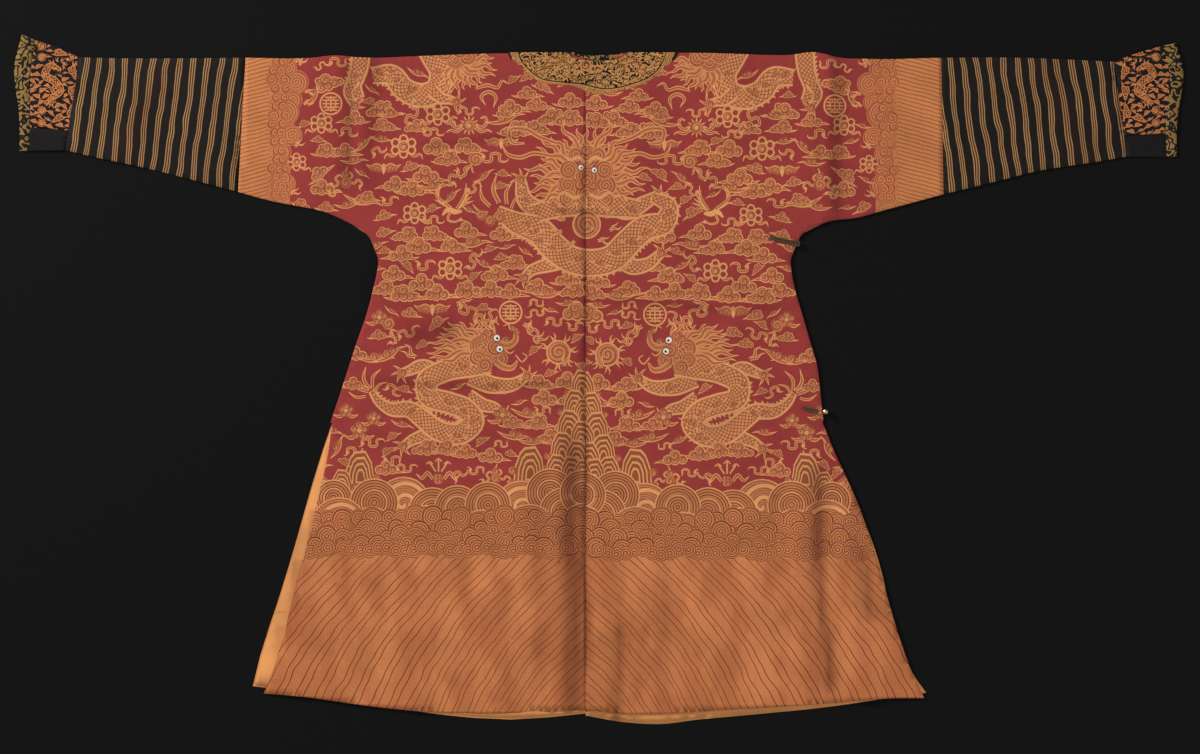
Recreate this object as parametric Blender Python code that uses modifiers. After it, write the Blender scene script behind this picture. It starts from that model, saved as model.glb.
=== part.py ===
"""Chinese dragon robe, laid out flat with its back upwards.

The cloth is modelled as the garment is cut. Each half of the body is one length of silk that
runs from the back hem over the shoulder to the front hem, with the top of its sleeve; the
overlapping front panel, striped sleeves, horse-hoof cuffs, collar and trims are sewn to it.
Every sheet is a surface of quads, folded where the cloth folds, with a Solidify wall.

Axes: +X towards the wearer's right sleeve, +Y towards the neck, +Z away from the floor.
The tables below are in millimetres, measured from the middle of the robe on the floor.
"""

import math
from collections import namedtuple

import bmesh
import bpy
import numpy as np

MM = 0.001
COLLECTION_NAME = "dragon_robe"

# Driving sizes, in millimetres.
WALL = 1.2                 # robe silk with its lining
LINING_WALL = 1.0
SEAM_GAP = 0.4             # between pieces that are sewn edge to edge
LAYER_STEP = 1.7           # from one layer on the floor to the next
FOLD_BULGE = 2.0           # how far a folded edge swells past its line
TRIM_LIFT = WALL + 0.5     # trim above the cloth that carries it
TRIM_OVERHANG = 2.4        # trim beyond the shoulder fold that carries it
CENTRE_X = -24.0           # centre seam of the back and the front
UNDERARM_Y = 216.0
SHOULDER_Y = 586.0
NECK_X = -2.0
UNDERLAP_X = 10.0          # inner edge of the right front, under the overlap

# Heights of the back's outer face.
BACK_LEFT = 4.4
BACK_RIGHT = 5.1
BACK_SEAM = 4.9
SLEEVE_END = 3.9
SEAM_REACH = 130.0         # how far from the centre seam the halves reach their own height
SLEEVE_FALL = (430.0, 610.0)   # from the middle, where the back comes down to the sleeve's height

# Ellipses round the neck: half width, depth at the back, depth at the front.
Neck = namedtuple("Neck", "half_width back front")
NECK_CUT = Neck(46.0, 7.0, 95.0)
BINDING_IN = Neck(42.0, 3.0, 90.0)
BINDING_OUT = Neck(51.0, 12.0, 99.0)
COLLAR_IN = Neck(51.4, 12.4, 99.4)
COLLAR_X = -11.0
COLLAR_FRONT_HALF_WIDTH = 153.0
COLLAR_FRONT_DEPTH = 190.0
COLLAR_EASE = (1.14, 2.4)  # shares of the collar's reach between which the cloth over it falls
CLOSING_EASE = (45.0, 110.0)   # above the closing curve, where the cloth over the overlap falls

Point = namedtuple("Point", "x y")

COLLAR_BACK_EDGE = [
    Point(-164, 586), Point(-157, 568), Point(-142, 549), Point(-109, 525), Point(-31, 515),
    Point(3, 506), Point(70, 517), Point(99, 529), Point(122, 549), Point(142, 586),
]
CLOSING_CURVE = [
    Point(-24, 500), Point(20, 489), Point(90, 455), Point(170, 402), Point(240, 340),
    Point(295, 277), Point(341, 219),
]

# Outlines of the two halves, from the neck outwards and from the underarm down.
Half = namedtuple(
    "Half",
    "side shoulder sleeve_top sleeve_under seam back_vent front_vent back_hem front_hem",
)
LEFT = Half(
    side=-1,
    shoulder=[Point(-48, 586), Point(-215, 584), Point(-323, 580), Point(-395, 577)],
    sleeve_top=[
        Point(-395, 577), Point(-431, 577), Point(-455, 582), Point(-480, 581),
        Point(-518, 577), Point(-637, 577),
    ],
    sleeve_under=[
        Point(-395, 216), Point(-399, 243), Point(-409, 257), Point(-431, 271),
        Point(-475, 299), Point(-539, 314), Point(-604, 328), Point(-650, 341),
    ],
    seam=[
        Point(-395, 216), Point(-399, 188), Point(-411, 134), Point(-438, 53),
        Point(-464, -28), Point(-481, -78),
    ],
    back_vent=[
        Point(-481, -78), Point(-491, -150), Point(-503, -200), Point(-525, -295),
        Point(-548, -380), Point(-588, -525), Point(-604, -566),
    ],
    front_vent=[
        Point(-481, -78), Point(-505, -150), Point(-525, -217), Point(-548, -299),
        Point(-581, -407), Point(-608, -488), Point(-624, -553),
    ],
    back_hem=[
        Point(-24, -596), Point(-150, -601), Point(-269, -601), Point(-410, -589),
        Point(-539, -571), Point(-604, -566),
    ],
    front_hem=[
        Point(-24, -602), Point(-151, -613), Point(-269, -606), Point(-410, -585),
        Point(-560, -560), Point(-624, -553),
    ],
)
RIGHT = Half(
    side=1,
    shoulder=[
        Point(44, 586), Point(140, 586), Point(218, 585), Point(308, 582), Point(343, 582),
    ],
    sleeve_top=[
        Point(343, 582), Point(373, 585), Point(395, 587), Point(417, 580),
        Point(482, 575), Point(617, 577),
    ],
    sleeve_under=[
        Point(343, 216), Point(345, 242), Point(356, 256), Point(375, 272), Point(397, 284),
        Point(438, 289), Point(525, 311), Point(621, 337),
    ],
    seam=[
        Point(343, 216), Point(345, 188), Point(359, 134), Point(382, 53),
        Point(396, -1), Point(397, -54), Point(402, -75),
    ],
    back_vent=[
        Point(402, -75), Point(427, -136), Point(464, -217), Point(501, -326),
        Point(532, -434), Point(559, -515), Point(586, -574),
    ],
    front_vent=[
        Point(402, -75), Point(412, -136), Point(433, -217), Point(465, -326),
        Point(495, -434), Point(522, -515),
    ],
    back_hem=[
        Point(-24, -596), Point(76, -603), Point(182, -598), Point(290, -592),
        Point(399, -585), Point(543, -574), Point(586, -574),
    ],
    front_hem=[
        Point(10, -552), Point(180, -548), Point(400, -532), Point(522, -515),
    ],
)
OVERLAP_SIDE = [
    Point(341, 219), Point(343, 188), Point(357, 134), Point(380, 53), Point(394, -1),
    Point(396, -60), Point(425, -136), Point(462, -217), Point(504, -326), Point(530, -434),
    Point(560, -520), Point(590, -565),
]
OVERLAP_HEM = [
    Point(-24, -606), Point(90, -622), Point(182, -613), Point(290, -603), Point(417, -590),
    Point(543, -571), Point(590, -565),
]

# Straight outlines of the sleeves and cuffs, from the body outwards.
Tube = namedtuple("Tube", "side top under")
SLEEVE_LEFT = Tube(
    -1,
    [Point(-637, 577), Point(-760, 576), Point(-870, 576), Point(-939, 578)],
    [Point(-650, 341), Point(-734, 363), Point(-821, 385), Point(-907, 403), Point(-960, 416)],
)
SLEEVE_RIGHT = Tube(
    1,
    [Point(617, 577), Point(760, 577), Point(860, 573), Point(929, 570)],
    [Point(621, 337), Point(720, 361), Point(806, 382), Point(871, 391), Point(951, 405)],
)
CUFF_LEFT = Tube(
    -1,
    [Point(-939, 578), Point(-966, 591), Point(-1016, 609)],
    [Point(-960, 416), Point(-994, 415), Point(-1026, 415)],
)
CUFF_RIGHT = Tube(
    1,
    [Point(929, 570), Point(960, 582), Point(1017, 599)],
    [Point(951, 405), Point(986, 405), Point(1022, 404)],
)
# Edges that run across a sleeve, from its underside to its top.
CUFF_EDGE_LEFT = [Point(-1026, 415), Point(-1024, 470), Point(-1024, 540), Point(-1016, 609)]
CUFF_EDGE_RIGHT = [Point(1022, 404), Point(1020, 460), Point(1028, 550), Point(1017, 599)]
MOUTH_LEFT = [Point(-1043, 415), Point(-1043, 470), Point(-1052, 570), Point(-1040, 619)]
MOUTH_RIGHT = [Point(1040, 405), Point(1041, 470), Point(1052, 560), Point(1040, 604)]

# Linings of the front vents: how much of the panel's width and height the strips take, and
# how far up the vent they reach.
Lining = namedtuple("Lining", "side_share hem_share top_share")
LINING_LEFT = Lining(0.10, 0.08, 0.59)
LINING_RIGHT = Lining(0.04, 0.035, 0.36)
LINING_INSET = 0.004       # share of the panel by which a lining stays inside its edge

# Soft folds that lift the back, each a line with a half width and a height.
Fold = namedtuple("Fold", "x0 y0 x1 y1 width height")
FOLDS = [
    Fold(-452, 640, -438, 300, 22, 1.6),
    Fold(398, 650, 402, 250, 22, 2.2),
    Fold(-75, 420, -70, -700, 34, 1.0),
    Fold(28, 420, 30, -700, 34, 1.4),
    Fold(-500, -700, -455, -120, 34, 1.4),
    Fold(-300, -700, -330, -200, 46, 1.2),
    Fold(345, -700, 300, -190, 40, 2.2),
    Fold(505, -700, 425, -150, 30, 2.0),
    Fold(170, -700, 150, -330, 44, 1.4),
    Fold(-560, 620, -700, 300, 40, 1.0),
    Fold(540, 620, 700, 320, 40, 1.2),
]
FOLD_TAPER = 0.18          # share of a fold's length over which its end dies away

# Closing loops and button.
CORD_RADIUS = 1.8
CORD_CLEARANCE = 0.8
Loop = namedtuple("Loop", "start end strand_gap eye_radius eye_length")
LOOP_UNDERARM = Loop(Point(307, 256), Point(361, 244), 4.2, 4.2, 13.0)
LOOP_SIDE = Loop(Point(368, -51), Point(394, -58), 4.2, 3.0, 7.0)
EYE_START = 0.4            # share of the eye's radius where its strands have spread
BUTTON = Point(408.0, -58.0)
BUTTON_HEIGHT = 8.6
BUTTON_RADIUS = 5.6
SHANK_RADIUS = 1.6
SHANK_LENGTH = 2.2

# Colours and finishes of the cloths: red, green, blue, roughness, metallic.
Finish = namedtuple("Finish", "red green blue roughness metallic")
FINISHES = {
    "crimson_silk": Finish(0.42, 0.10, 0.06, 0.55, 0.0),
    "gold_lining": Finish(0.72, 0.36, 0.12, 0.60, 0.0),
    "striped_silk": Finish(0.05, 0.04, 0.03, 0.60, 0.0),
    "cuff_brocade": Finish(0.30, 0.13, 0.05, 0.60, 0.0),
    "scroll_band": Finish(0.30, 0.27, 0.09, 0.55, 0.0),
    "plain_satin": Finish(0.02, 0.02, 0.03, 0.50, 0.0),
    "collar_brocade": Finish(0.28, 0.19, 0.09, 0.60, 0.0),
    "braid": Finish(0.06, 0.05, 0.03, 0.70, 0.0),
    "gilt_brass": Finish(0.75, 0.60, 0.35, 0.35, 1.0),
}

# How many cells each panel has.
NECK_CELLS_LEFT = 2
NECK_CELLS_RIGHT = 4
SHOULDER_CELLS = 7
UPPER_CELLS = 6
SLEEVE_TOP_CELLS = 6
SEAM_CELLS = 6
VENT_CELLS = 9
TUBE_CELLS = 6
FOLD_CELLS = 3
COLLAR_CELLS = 12
OVERLAP_CELLS = 9
OVERLAP_ROWS = 18
LINING_CELLS = 10
CUFF_CELLS = 3

# Shares of a cuff's height: the plain gusset's two edges, then the hoof's rows above it.
GUSSET_SHARE = 0.2
CUFF_ROWS = [0.0, GUSSET_SHARE, *np.linspace(GUSSET_SHARE + 0.003, 1, 6)]


def clear_scene():
    """Start from an empty file."""
    for old in list(bpy.data.objects):
        bpy.data.objects.remove(old, do_unlink=True)


def finish_material(name):
    """Return the plain material of one cloth, cord or metal."""
    material = bpy.data.materials.get(name)
    if material is None:
        finish = FINISHES[name]
        material = bpy.data.materials.new(name)
        material.use_nodes = True
        shader = material.node_tree.nodes["Principled BSDF"]
        shader.inputs["Base Color"].default_value = (finish.red, finish.green, finish.blue, 1)
        shader.inputs["Roughness"].default_value = finish.roughness
        shader.inputs["Metallic"].default_value = finish.metallic
    return material


def smooth_line(points, cells):
    """Sample a smooth curve through a table of points at even steps along its length."""
    knots = np.array(points, float)
    steps = np.hypot(*np.diff(knots, axis=0).T)
    at = np.concatenate([[0.0], np.cumsum(steps)])
    slopes = np.gradient(knots, at, axis=0)
    fine = np.linspace(0, at[-1], 40 * cells + 1)
    piece = np.clip(np.searchsorted(at, fine, side="right") - 1, 0, len(knots) - 2)
    span = (at[piece + 1] - at[piece])[:, None]
    t = (fine - at[piece])[:, None] / span
    curve = (
        (2 * t**3 - 3 * t**2 + 1) * knots[piece]
        + (t**3 - 2 * t**2 + t) * span * slopes[piece]
        + (3 * t**2 - 2 * t**3) * knots[piece + 1]
        + (t**3 - t**2) * span * slopes[piece + 1]
    )
    walked = np.concatenate([[0.0], np.cumsum(np.hypot(*np.diff(curve, axis=0).T))])
    even = np.linspace(0, walked[-1], cells + 1)
    return np.stack([np.interp(even, walked, curve[:, k]) for k in (0, 1)], axis=1)


def join_lines(*lines):
    """Chain lines that share their end points."""
    return np.concatenate([lines[0]] + [line[1:] for line in lines[1:]])


def blend_patch(bottom, top, inner, outer):
    """Fill four edges that meet at their corners with a grid of points."""
    u = np.linspace(0, 1, len(bottom))[None, :, None]
    v = np.linspace(0, 1, len(inner))[:, None, None]
    between_rows = (1 - v) * bottom[None] + v * top[None]
    between_columns = (1 - u) * inner[:, None] + u * outer[:, None]
    corners = (1 - v) * ((1 - u) * bottom[0] + u * bottom[-1])
    corners = corners + v * ((1 - u) * top[0] + u * top[-1])
    return between_rows + between_columns - corners


def sample_patch(patch, across, along):
    """Read a patch at shares of its width and height."""
    rows, columns = patch.shape[:2]
    by_row = np.stack(
        [[np.interp(np.array(across) * (columns - 1), range(columns), row[:, k]) for row in patch]
         for k in (0, 1)], axis=2)
    return np.stack(
        [[np.interp(np.array(along) * (rows - 1), range(rows), by_row[:, i, k])
          for i in range(len(across))] for k in (0, 1)], axis=2).transpose(1, 0, 2)


def soft_step(value, low, high):
    """Rise smoothly from 0 at low to 1 at high."""
    t = np.clip((value - low) / (high - low), 0, 1)
    return t * t * (3 - 2 * t)


def over_collar(x, y):
    """1 where the front lies on the front of the collar, dying away to 0 round it."""
    across = (x - COLLAR_X) / COLLAR_FRONT_HALF_WIDTH
    down = (y - SHOULDER_Y) / COLLAR_FRONT_DEPTH
    return 1 - soft_step(np.hypot(across, down), *COLLAR_EASE)


def over_overlap(x, y):
    """1 where the right front lies on the overlap, dying away to 0 above the closing curve."""
    curve = np.array(CLOSING_CURVE, float)
    return 1 - soft_step(y - np.interp(x, curve[:, 0], curve[:, 1]), *CLOSING_EASE)


def fold_height(x, y):
    """Lift of the back where soft folds run through it."""
    lift = np.zeros_like(x)
    for fold in FOLDS:
        run_x, run_y = fold.x1 - fold.x0, fold.y1 - fold.y0
        length = math.hypot(run_x, run_y)
        along = ((x - fold.x0) * run_x + (y - fold.y0) * run_y) / length**2
        across = ((x - fold.x0) * run_y - (y - fold.y0) * run_x) / length
        ends = soft_step(np.minimum(along, 1 - along), 0, FOLD_TAPER)
        lift += fold.height * ends * np.exp(-((across / fold.width) ** 2))
    return lift


def back_height(x, y):
    """Height of the back's outer face above the floor."""
    own = np.where(x < CENTRE_X, BACK_LEFT, BACK_RIGHT)
    near_seam = 1 - soft_step(np.abs(x - CENTRE_X), 0, SEAM_REACH)
    level = own + (BACK_SEAM - own) * near_seam
    sleeve = soft_step(np.abs(x), *SLEEVE_FALL)
    level = level + (SLEEVE_END - level) * sleeve * (y > UNDERARM_Y)
    collar = over_collar(x, y)
    return level + LAYER_STEP * collar + fold_height(x, y) * (1 - collar)


def front_left_height(x, y):
    """Height of the left front's outer face, which lies on the floor or on the collar."""
    return LAYER_STEP * over_collar(x, y)


def front_right_height(x, y):
    """Height of the right front's outer face, on the overlap and on the collar."""
    return LAYER_STEP * (over_collar(x, y) + over_overlap(x, y))


def on_floor(x, y):
    """Height of a face that lies on the floor."""
    return np.zeros_like(x)


def in_space(points, height):
    """Lift points of the plan to the height of their layer."""
    return np.dstack([points, height(points[..., 0], points[..., 1])])


def round_fold(line, side, upper, lower, square_ends=(0, -1)):
    """Carry the cloth round a folded edge, swelling straight along Y at its seam ends."""
    along = np.gradient(line, axis=0)
    along /= np.linalg.norm(along, axis=1)[:, None]
    outward = side * np.stack([along[:, 1], -along[:, 0]], axis=1)
    for end in square_ends:
        outward[end] = (0, math.copysign(1, outward[end][1]))
    high = upper(line[:, 0], line[:, 1])
    low = lower(line[:, 0], line[:, 1])
    rows = []
    for step in range(FOLD_CELLS + 1):
        angle = math.pi * step / FOLD_CELLS
        place = line + outward * FOLD_BULGE * math.sin(angle)
        height = (high + low) / 2 + (high - low) / 2 * math.cos(angle)
        rows.append(np.column_stack([place, height]))
    return np.array(rows)


def add_grid(cloth, grid, keep=None):
    """Add a grid of points to a bmesh as quads."""
    verts = [[cloth.verts.new(point * MM) for point in row] for row in grid]
    for j in range(len(grid) - 1):
        for i in range(len(grid[0]) - 1):
            if keep is None or keep(i, j):
                near, far = verts[j], verts[j + 1]
                cloth.faces.new((near[i], near[i + 1], far[i + 1], far[i]))


def place_object(name, mesh, finish):
    """Put a mesh in the robe's collection with its material."""
    mesh.materials.append(finish_material(finish))
    thing = bpy.data.objects.new(name, mesh)
    bpy.data.collections[COLLECTION_NAME].objects.link(thing)
    return thing


def sew_cloth(name, finish, grids, wall=WALL, keep=None):
    """Join grids into one open surface that faces out, and give it a wall on its inner side."""
    cloth = bmesh.new()
    for grid in grids:
        add_grid(cloth, grid, keep)
    bmesh.ops.remove_doubles(cloth, verts=cloth.verts, dist=0.02 * MM)
    loose = [vert for vert in cloth.verts if not vert.link_faces]
    bmesh.ops.delete(cloth, geom=loose, context="VERTS")
    bmesh.ops.recalc_face_normals(cloth, faces=cloth.faces)
    top = max(cloth.faces, key=lambda face: face.calc_center_median().z)
    if top.normal.z < 0:
        bmesh.ops.reverse_faces(cloth, faces=cloth.faces)
    mesh = bpy.data.meshes.new(name)
    cloth.to_mesh(mesh)
    cloth.free()
    thing = place_object(name, mesh, finish)
    solidify = thing.modifiers.new("wall", "SOLIDIFY")
    solidify.thickness = wall * MM
    solidify.offset = -1
    solidify.use_even_offset = True
    solidify.use_rim = True
    return thing


def neck_line(neck, centre_x, from_x, side, depth, cells):
    """Follow a neck ellipse from a given x to the shoulder on one side."""
    start = math.acos((from_x - centre_x) / neck.half_width)
    end = 0.0 if side > 0 else math.pi
    angles = np.linspace(start, end, cells + 1)
    return np.stack(
        [centre_x + neck.half_width * np.cos(angles), SHOULDER_Y - depth * np.sin(angles)], axis=1)


def straight(start, end, cells):
    """Even steps from one point to another."""
    return np.linspace(start, end, cells + 1)


def body_layer(half, inner_x, neck_depth, neck_cells, hem, vent):
    """Return the plan of one layer of a half: skirt and waist, chest, and top of the sleeve."""
    shoulder = smooth_line(half.shoulder, SHOULDER_CELLS)
    sleeve_top = smooth_line(half.sleeve_top, SLEEVE_TOP_CELLS)
    sleeve_under = smooth_line(half.sleeve_under, SLEEVE_TOP_CELLS)
    seam = smooth_line(half.seam, SEAM_CELLS)
    vent_edge = smooth_line(vent, VENT_CELLS)
    neck = neck_line(NECK_CUT, NECK_X, inner_x, half.side, neck_depth, neck_cells)
    neck[-1] = shoulder[0]
    across = neck_cells + SHOULDER_CELLS
    hem_edge = smooth_line(hem, across)
    waist = straight((inner_x, UNDERARM_Y), half.seam[0], across)
    inner_low = straight(hem_edge[0], waist[0], VENT_CELLS + SEAM_CELLS)
    outer_low = join_lines(vent_edge[::-1], seam[::-1])
    inner_high = straight(waist[0], neck[0], UPPER_CELLS)
    armhole = straight(half.seam[0], half.shoulder[-1], UPPER_CELLS)
    sleeve_end = straight(half.sleeve_under[-1], half.sleeve_top[-1], UPPER_CELLS)
    return [
        blend_patch(hem_edge, waist, inner_low, outer_low),
        blend_patch(waist, join_lines(neck, shoulder), inner_high, armhole),
        blend_patch(sleeve_under, sleeve_top, armhole, sleeve_end),
    ]


def make_body_half(name, half, front_inner_x, neck_cells, front_height):
    """Fold one half over its shoulder and sew its side and its sleeve's underside."""
    back_inner_x = CENTRE_X + half.side * SEAM_GAP / 2
    back = body_layer(
        half, back_inner_x, NECK_CUT.back, neck_cells, half.back_hem, half.back_vent)
    front = body_layer(
        half, front_inner_x, NECK_CUT.front, neck_cells, half.front_hem, half.front_vent)
    shoulder = join_lines(back[1][-1][neck_cells:], back[2][-1])
    underside = join_lines(back[2][0][::-1], back[0][VENT_CELLS:, -1][::-1])
    side = -half.side
    grids = [in_space(patch, back_height) for patch in back]
    grids += [in_space(patch, front_height) for patch in front]
    grids.append(round_fold(shoulder, side, back_height, front_height))
    grids.append(round_fold(underside, side, back_height, front_height, (0,)))
    sew_cloth(name, "crimson_silk", grids)
    return front[0]


def make_overlap():
    """Lay the overlapping front panel on the floor, under the right front."""
    hem = smooth_line(OVERLAP_HEM, OVERLAP_CELLS)
    top = smooth_line(CLOSING_CURVE, OVERLAP_CELLS)
    hem[0][0] = top[0][0] = CENTRE_X + SEAM_GAP / 2
    centre = straight(hem[0], top[0], OVERLAP_ROWS)
    side = smooth_line(OVERLAP_SIDE[::-1], OVERLAP_ROWS)
    panel = blend_patch(hem, top, centre, side)
    upside_down = in_space(panel, front_left_height) + np.array([0, 0, WALL])
    sew_cloth("front_overlap", "crimson_silk", [upside_down])
    return panel


def make_lining(name, panel, lining):
    """Lay a strip of lining along the vent and the hem of a front panel."""
    cells = LINING_CELLS
    inner, outer = LINING_INSET, 1 - LINING_INSET
    across = np.append(np.linspace(inner, 1 - lining.side_share, cells), outer)
    along = np.insert(np.linspace(lining.hem_share, lining.top_share, cells), 0, inner)
    grid = sample_patch(panel, across, along)
    lifted = np.dstack([grid, np.full(grid.shape[:2], LAYER_STEP + LINING_WALL)])
    sew_cloth(name, "gold_lining", [lifted], LINING_WALL, lambda i, j: j == 0 or i == cells - 1)


def make_sleeve(name, tube):
    """Make a striped sleeve, a flattened tube that is open at both ends."""
    shift = np.array([tube.side * SEAM_GAP, 0])
    top = smooth_line(tube.top, TUBE_CELLS) + shift
    under = smooth_line(tube.under, TUBE_CELLS) + shift
    near = straight(under[0], top[0], UPPER_CELLS)
    far = straight(under[-1], top[-1], UPPER_CELLS)
    patch = blend_patch(under, top, near, far)
    grids = [in_space(patch, back_height), in_space(patch, on_floor)]
    grids.append(round_fold(top, -tube.side, back_height, on_floor))
    grids.append(round_fold(under, tube.side, back_height, on_floor))
    sew_cloth(name, "striped_silk", grids)


def make_cuff(name, tube, edge):
    """Make the figured hoof of a cuff and the plain gusset along its underside."""
    shift = np.array([tube.side * 2 * SEAM_GAP, 0])
    top = smooth_line(tube.top, CUFF_CELLS) + shift
    under = smooth_line(tube.under, CUFF_CELLS) + shift
    far = smooth_line(edge, UPPER_CELLS) + shift
    near = straight(under[0], top[0], UPPER_CELLS)
    whole = blend_patch(under, top, near, far)
    across = np.linspace(0, 1, CUFF_CELLS + 1)
    hoof = sample_patch(whole, across, CUFF_ROWS[2:])
    gusset = sample_patch(whole, across, CUFF_ROWS[:2])
    for label, finish, patch, line, side in (
        ("cuff_" + name, "cuff_brocade", hoof, hoof[-1], -tube.side),
        ("cuff_gusset_" + name, "plain_satin", gusset, gusset[0], tube.side),
    ):
        grids = [in_space(patch, back_height), in_space(patch, on_floor)]
        grids.append(round_fold(line, side, back_height, on_floor))
        sew_cloth(label, finish, grids)


def make_cuff_band(name, side, inner_edge, mouth):
    """Make the scrolled band round the mouth of a cuff."""
    shift = np.array([side * 3 * SEAM_GAP, 0])
    near = smooth_line(inner_edge, UPPER_CELLS) + shift
    far = smooth_line(mouth, UPPER_CELLS) + shift
    patch = sample_patch(np.stack([near, far], axis=1), (0, 0.5, 1), CUFF_ROWS)
    grids = [in_space(patch, back_height), in_space(patch, on_floor)]
    grids.append(round_fold(patch[-1], -side, back_height, on_floor))
    grids.append(round_fold(patch[0], side, back_height, on_floor))
    sew_cloth("cuff_band_" + name, "scroll_band", grids)


def half_ring(inner, outer, depth_in, outer_line, cells, rings):
    """Return the plan of one layer of a ring round the neck, from one shoulder to the other."""
    angles = np.linspace(math.pi, 0, cells + 1)
    inner_line = np.stack(
        [NECK_X + inner.half_width * np.cos(angles), SHOULDER_Y - depth_in * np.sin(angles)], axis=1)
    if outer_line is None:
        outer_line = np.stack(
            [outer[0] + outer[1] * np.cos(angles), SHOULDER_Y - outer[2] * np.sin(angles)], axis=1)
    shares = np.linspace(0, 1, rings + 1)[:, None, None]
    return inner_line[None] + (outer_line - inner_line)[None] * shares


def trim_height(x, y):
    """Height of the outer face of trim that lies on the back."""
    return back_height(x, y) + TRIM_LIFT


def make_neck_ring(name, finish, back, front):
    """Fold a ring of trim over both shoulders, with its front on the floor."""
    for layer in (back, front):
        layer[:, (0, -1), 1] = SHOULDER_Y + TRIM_OVERHANG
    grids = [in_space(back, trim_height), in_space(front, on_floor)]
    grids.append(round_fold(back[:, 0], 1, trim_height, on_floor))
    grids.append(round_fold(back[:, -1], -1, trim_height, on_floor))
    sew_cloth(name, finish, grids)


def make_collar():
    """Make the collar, a wide flat ring, and the narrow binding inside it."""
    edge = smooth_line(COLLAR_BACK_EDGE, COLLAR_CELLS)
    front_outer = (COLLAR_X, COLLAR_FRONT_HALF_WIDTH, COLLAR_FRONT_DEPTH)
    back = half_ring(COLLAR_IN, None, COLLAR_IN.back, edge, COLLAR_CELLS, 3)
    front = half_ring(COLLAR_IN, front_outer, COLLAR_IN.front, None, COLLAR_CELLS, 3)
    make_neck_ring("collar", "collar_brocade", back, front)
    around = NECK_X, BINDING_OUT.half_width
    outer = around + (BINDING_OUT.back,)
    back = half_ring(BINDING_IN, outer, BINDING_IN.back, None, COLLAR_CELLS, 1)
    outer = around + (BINDING_OUT.front,)
    front = half_ring(BINDING_IN, outer, BINDING_IN.front, None, COLLAR_CELLS, 1)
    make_neck_ring("neck_binding", "scroll_band", back, front)


def make_loop(name, loop):
    """Bend a braided cord into a closing loop: two strands and an eye at the end."""
    start, end = np.array(loop.start, float), np.array(loop.end, float)
    along = (end - start) / np.linalg.norm(end - start)
    across = np.array([-along[1], along[0]])
    half_gap = loop.strand_gap / 2
    neck = end - along * loop.eye_length
    eye = end - along * loop.eye_radius
    side = [(start, half_gap), ((start + neck) / 2, half_gap), (neck, half_gap)]
    side += [(eye - along * loop.eye_radius * EYE_START, loop.eye_radius)]
    path = [place + across * offset for place, offset in side]
    turns = [math.pi * step / 6 for step in range(1, 6)]
    path += [eye + loop.eye_radius * (across * math.cos(a) + along * math.sin(a)) for a in turns]
    path += [place - across * offset for place, offset in reversed(side)]
    top = max(float(back_height(np.array(p[0]), np.array(p[1]))) for p in path)
    height = top + CORD_RADIUS + CORD_CLEARANCE
    curve = bpy.data.curves.new(name, "CURVE")
    curve.dimensions = "3D"
    curve.bevel_depth = CORD_RADIUS * MM
    curve.bevel_resolution = 2
    curve.use_fill_caps = True
    spline = curve.splines.new("POLY")
    spline.points.add(len(path) - 1)
    for point, place in zip(spline.points, path):
        point.co = (place[0] * MM, place[1] * MM, height * MM, 1)
    place_object(name, curve, "braid")


def make_button():
    """Turn the ball button with its shank from one profile."""
    profile = bmesh.new()
    foot = -math.sqrt(BUTTON_RADIUS**2 - SHANK_RADIUS**2)
    outline = [(0, BUTTON_RADIUS)]
    for step in range(1, 7):
        angle = math.pi * step / 8
        outline.append((BUTTON_RADIUS * math.sin(angle), BUTTON_RADIUS * math.cos(angle)))
    outline += [(SHANK_RADIUS, foot), (SHANK_RADIUS, foot - SHANK_LENGTH), (0, foot - SHANK_LENGTH)]
    verts = [profile.verts.new((x * MM, 0, z * MM)) for x, z in outline]
    for first, second in zip(verts, verts[1:]):
        profile.edges.new((first, second))
    mesh = bpy.data.meshes.new("button_side")
    profile.to_mesh(mesh)
    profile.free()
    button = place_object("button_side", mesh, "gilt_brass")
    button.location = (BUTTON.x * MM, BUTTON.y * MM, BUTTON_HEIGHT * MM)
    screw = button.modifiers.new("turned", "SCREW")
    screw.steps = screw.render_steps = 16
    screw.use_merge_vertices = True
    screw.merge_threshold = 0.0001
    screw.use_smooth_shade = True


def main():
    """Make every piece of the robe."""
    clear_scene()
    collection = bpy.data.collections.new(COLLECTION_NAME)
    bpy.context.scene.collection.children.link(collection)
    left_front = make_body_half(
        "body_left", LEFT, CENTRE_X - SEAM_GAP / 2, NECK_CELLS_LEFT, front_left_height)
    make_body_half("body_right", RIGHT, UNDERLAP_X, NECK_CELLS_RIGHT, front_right_height)
    overlap = make_overlap()
    make_lining("lining_left", left_front, LINING_LEFT)
    make_lining("lining_right", overlap, LINING_RIGHT)
    make_sleeve("sleeve_left", SLEEVE_LEFT)
    make_sleeve("sleeve_right", SLEEVE_RIGHT)
    make_cuff("left", CUFF_LEFT, CUFF_EDGE_LEFT)
    make_cuff("right", CUFF_RIGHT, CUFF_EDGE_RIGHT)
    make_cuff_band("left", CUFF_LEFT.side, CUFF_EDGE_LEFT, MOUTH_LEFT)
    make_cuff_band("right", CUFF_RIGHT.side, CUFF_EDGE_RIGHT, MOUTH_RIGHT)
    make_collar()
    make_loop("loop_underarm", LOOP_UNDERARM)
    make_loop("loop_side", LOOP_SIDE)
    make_button()


if __name__ == "__main__":
    main()
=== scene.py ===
"""Look of a Chinese dragon robe that lies flat on the floor, with its back upwards.

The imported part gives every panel's outline and height. Here each panel becomes a thin shell
of silk, and the woven figures are cut into its mesh, so that each motif has its own finish.
Plan sizes are millimetres in the part's frame: +X to the wearer's right, +Y to the neck.
"""

import math
import random
from collections import namedtuple

import bmesh
import bpy
import numpy as np
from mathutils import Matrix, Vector, geometry, noise
from mathutils.bvhtree import BVHTree
from mathutils.kdtree import KDTree


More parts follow.
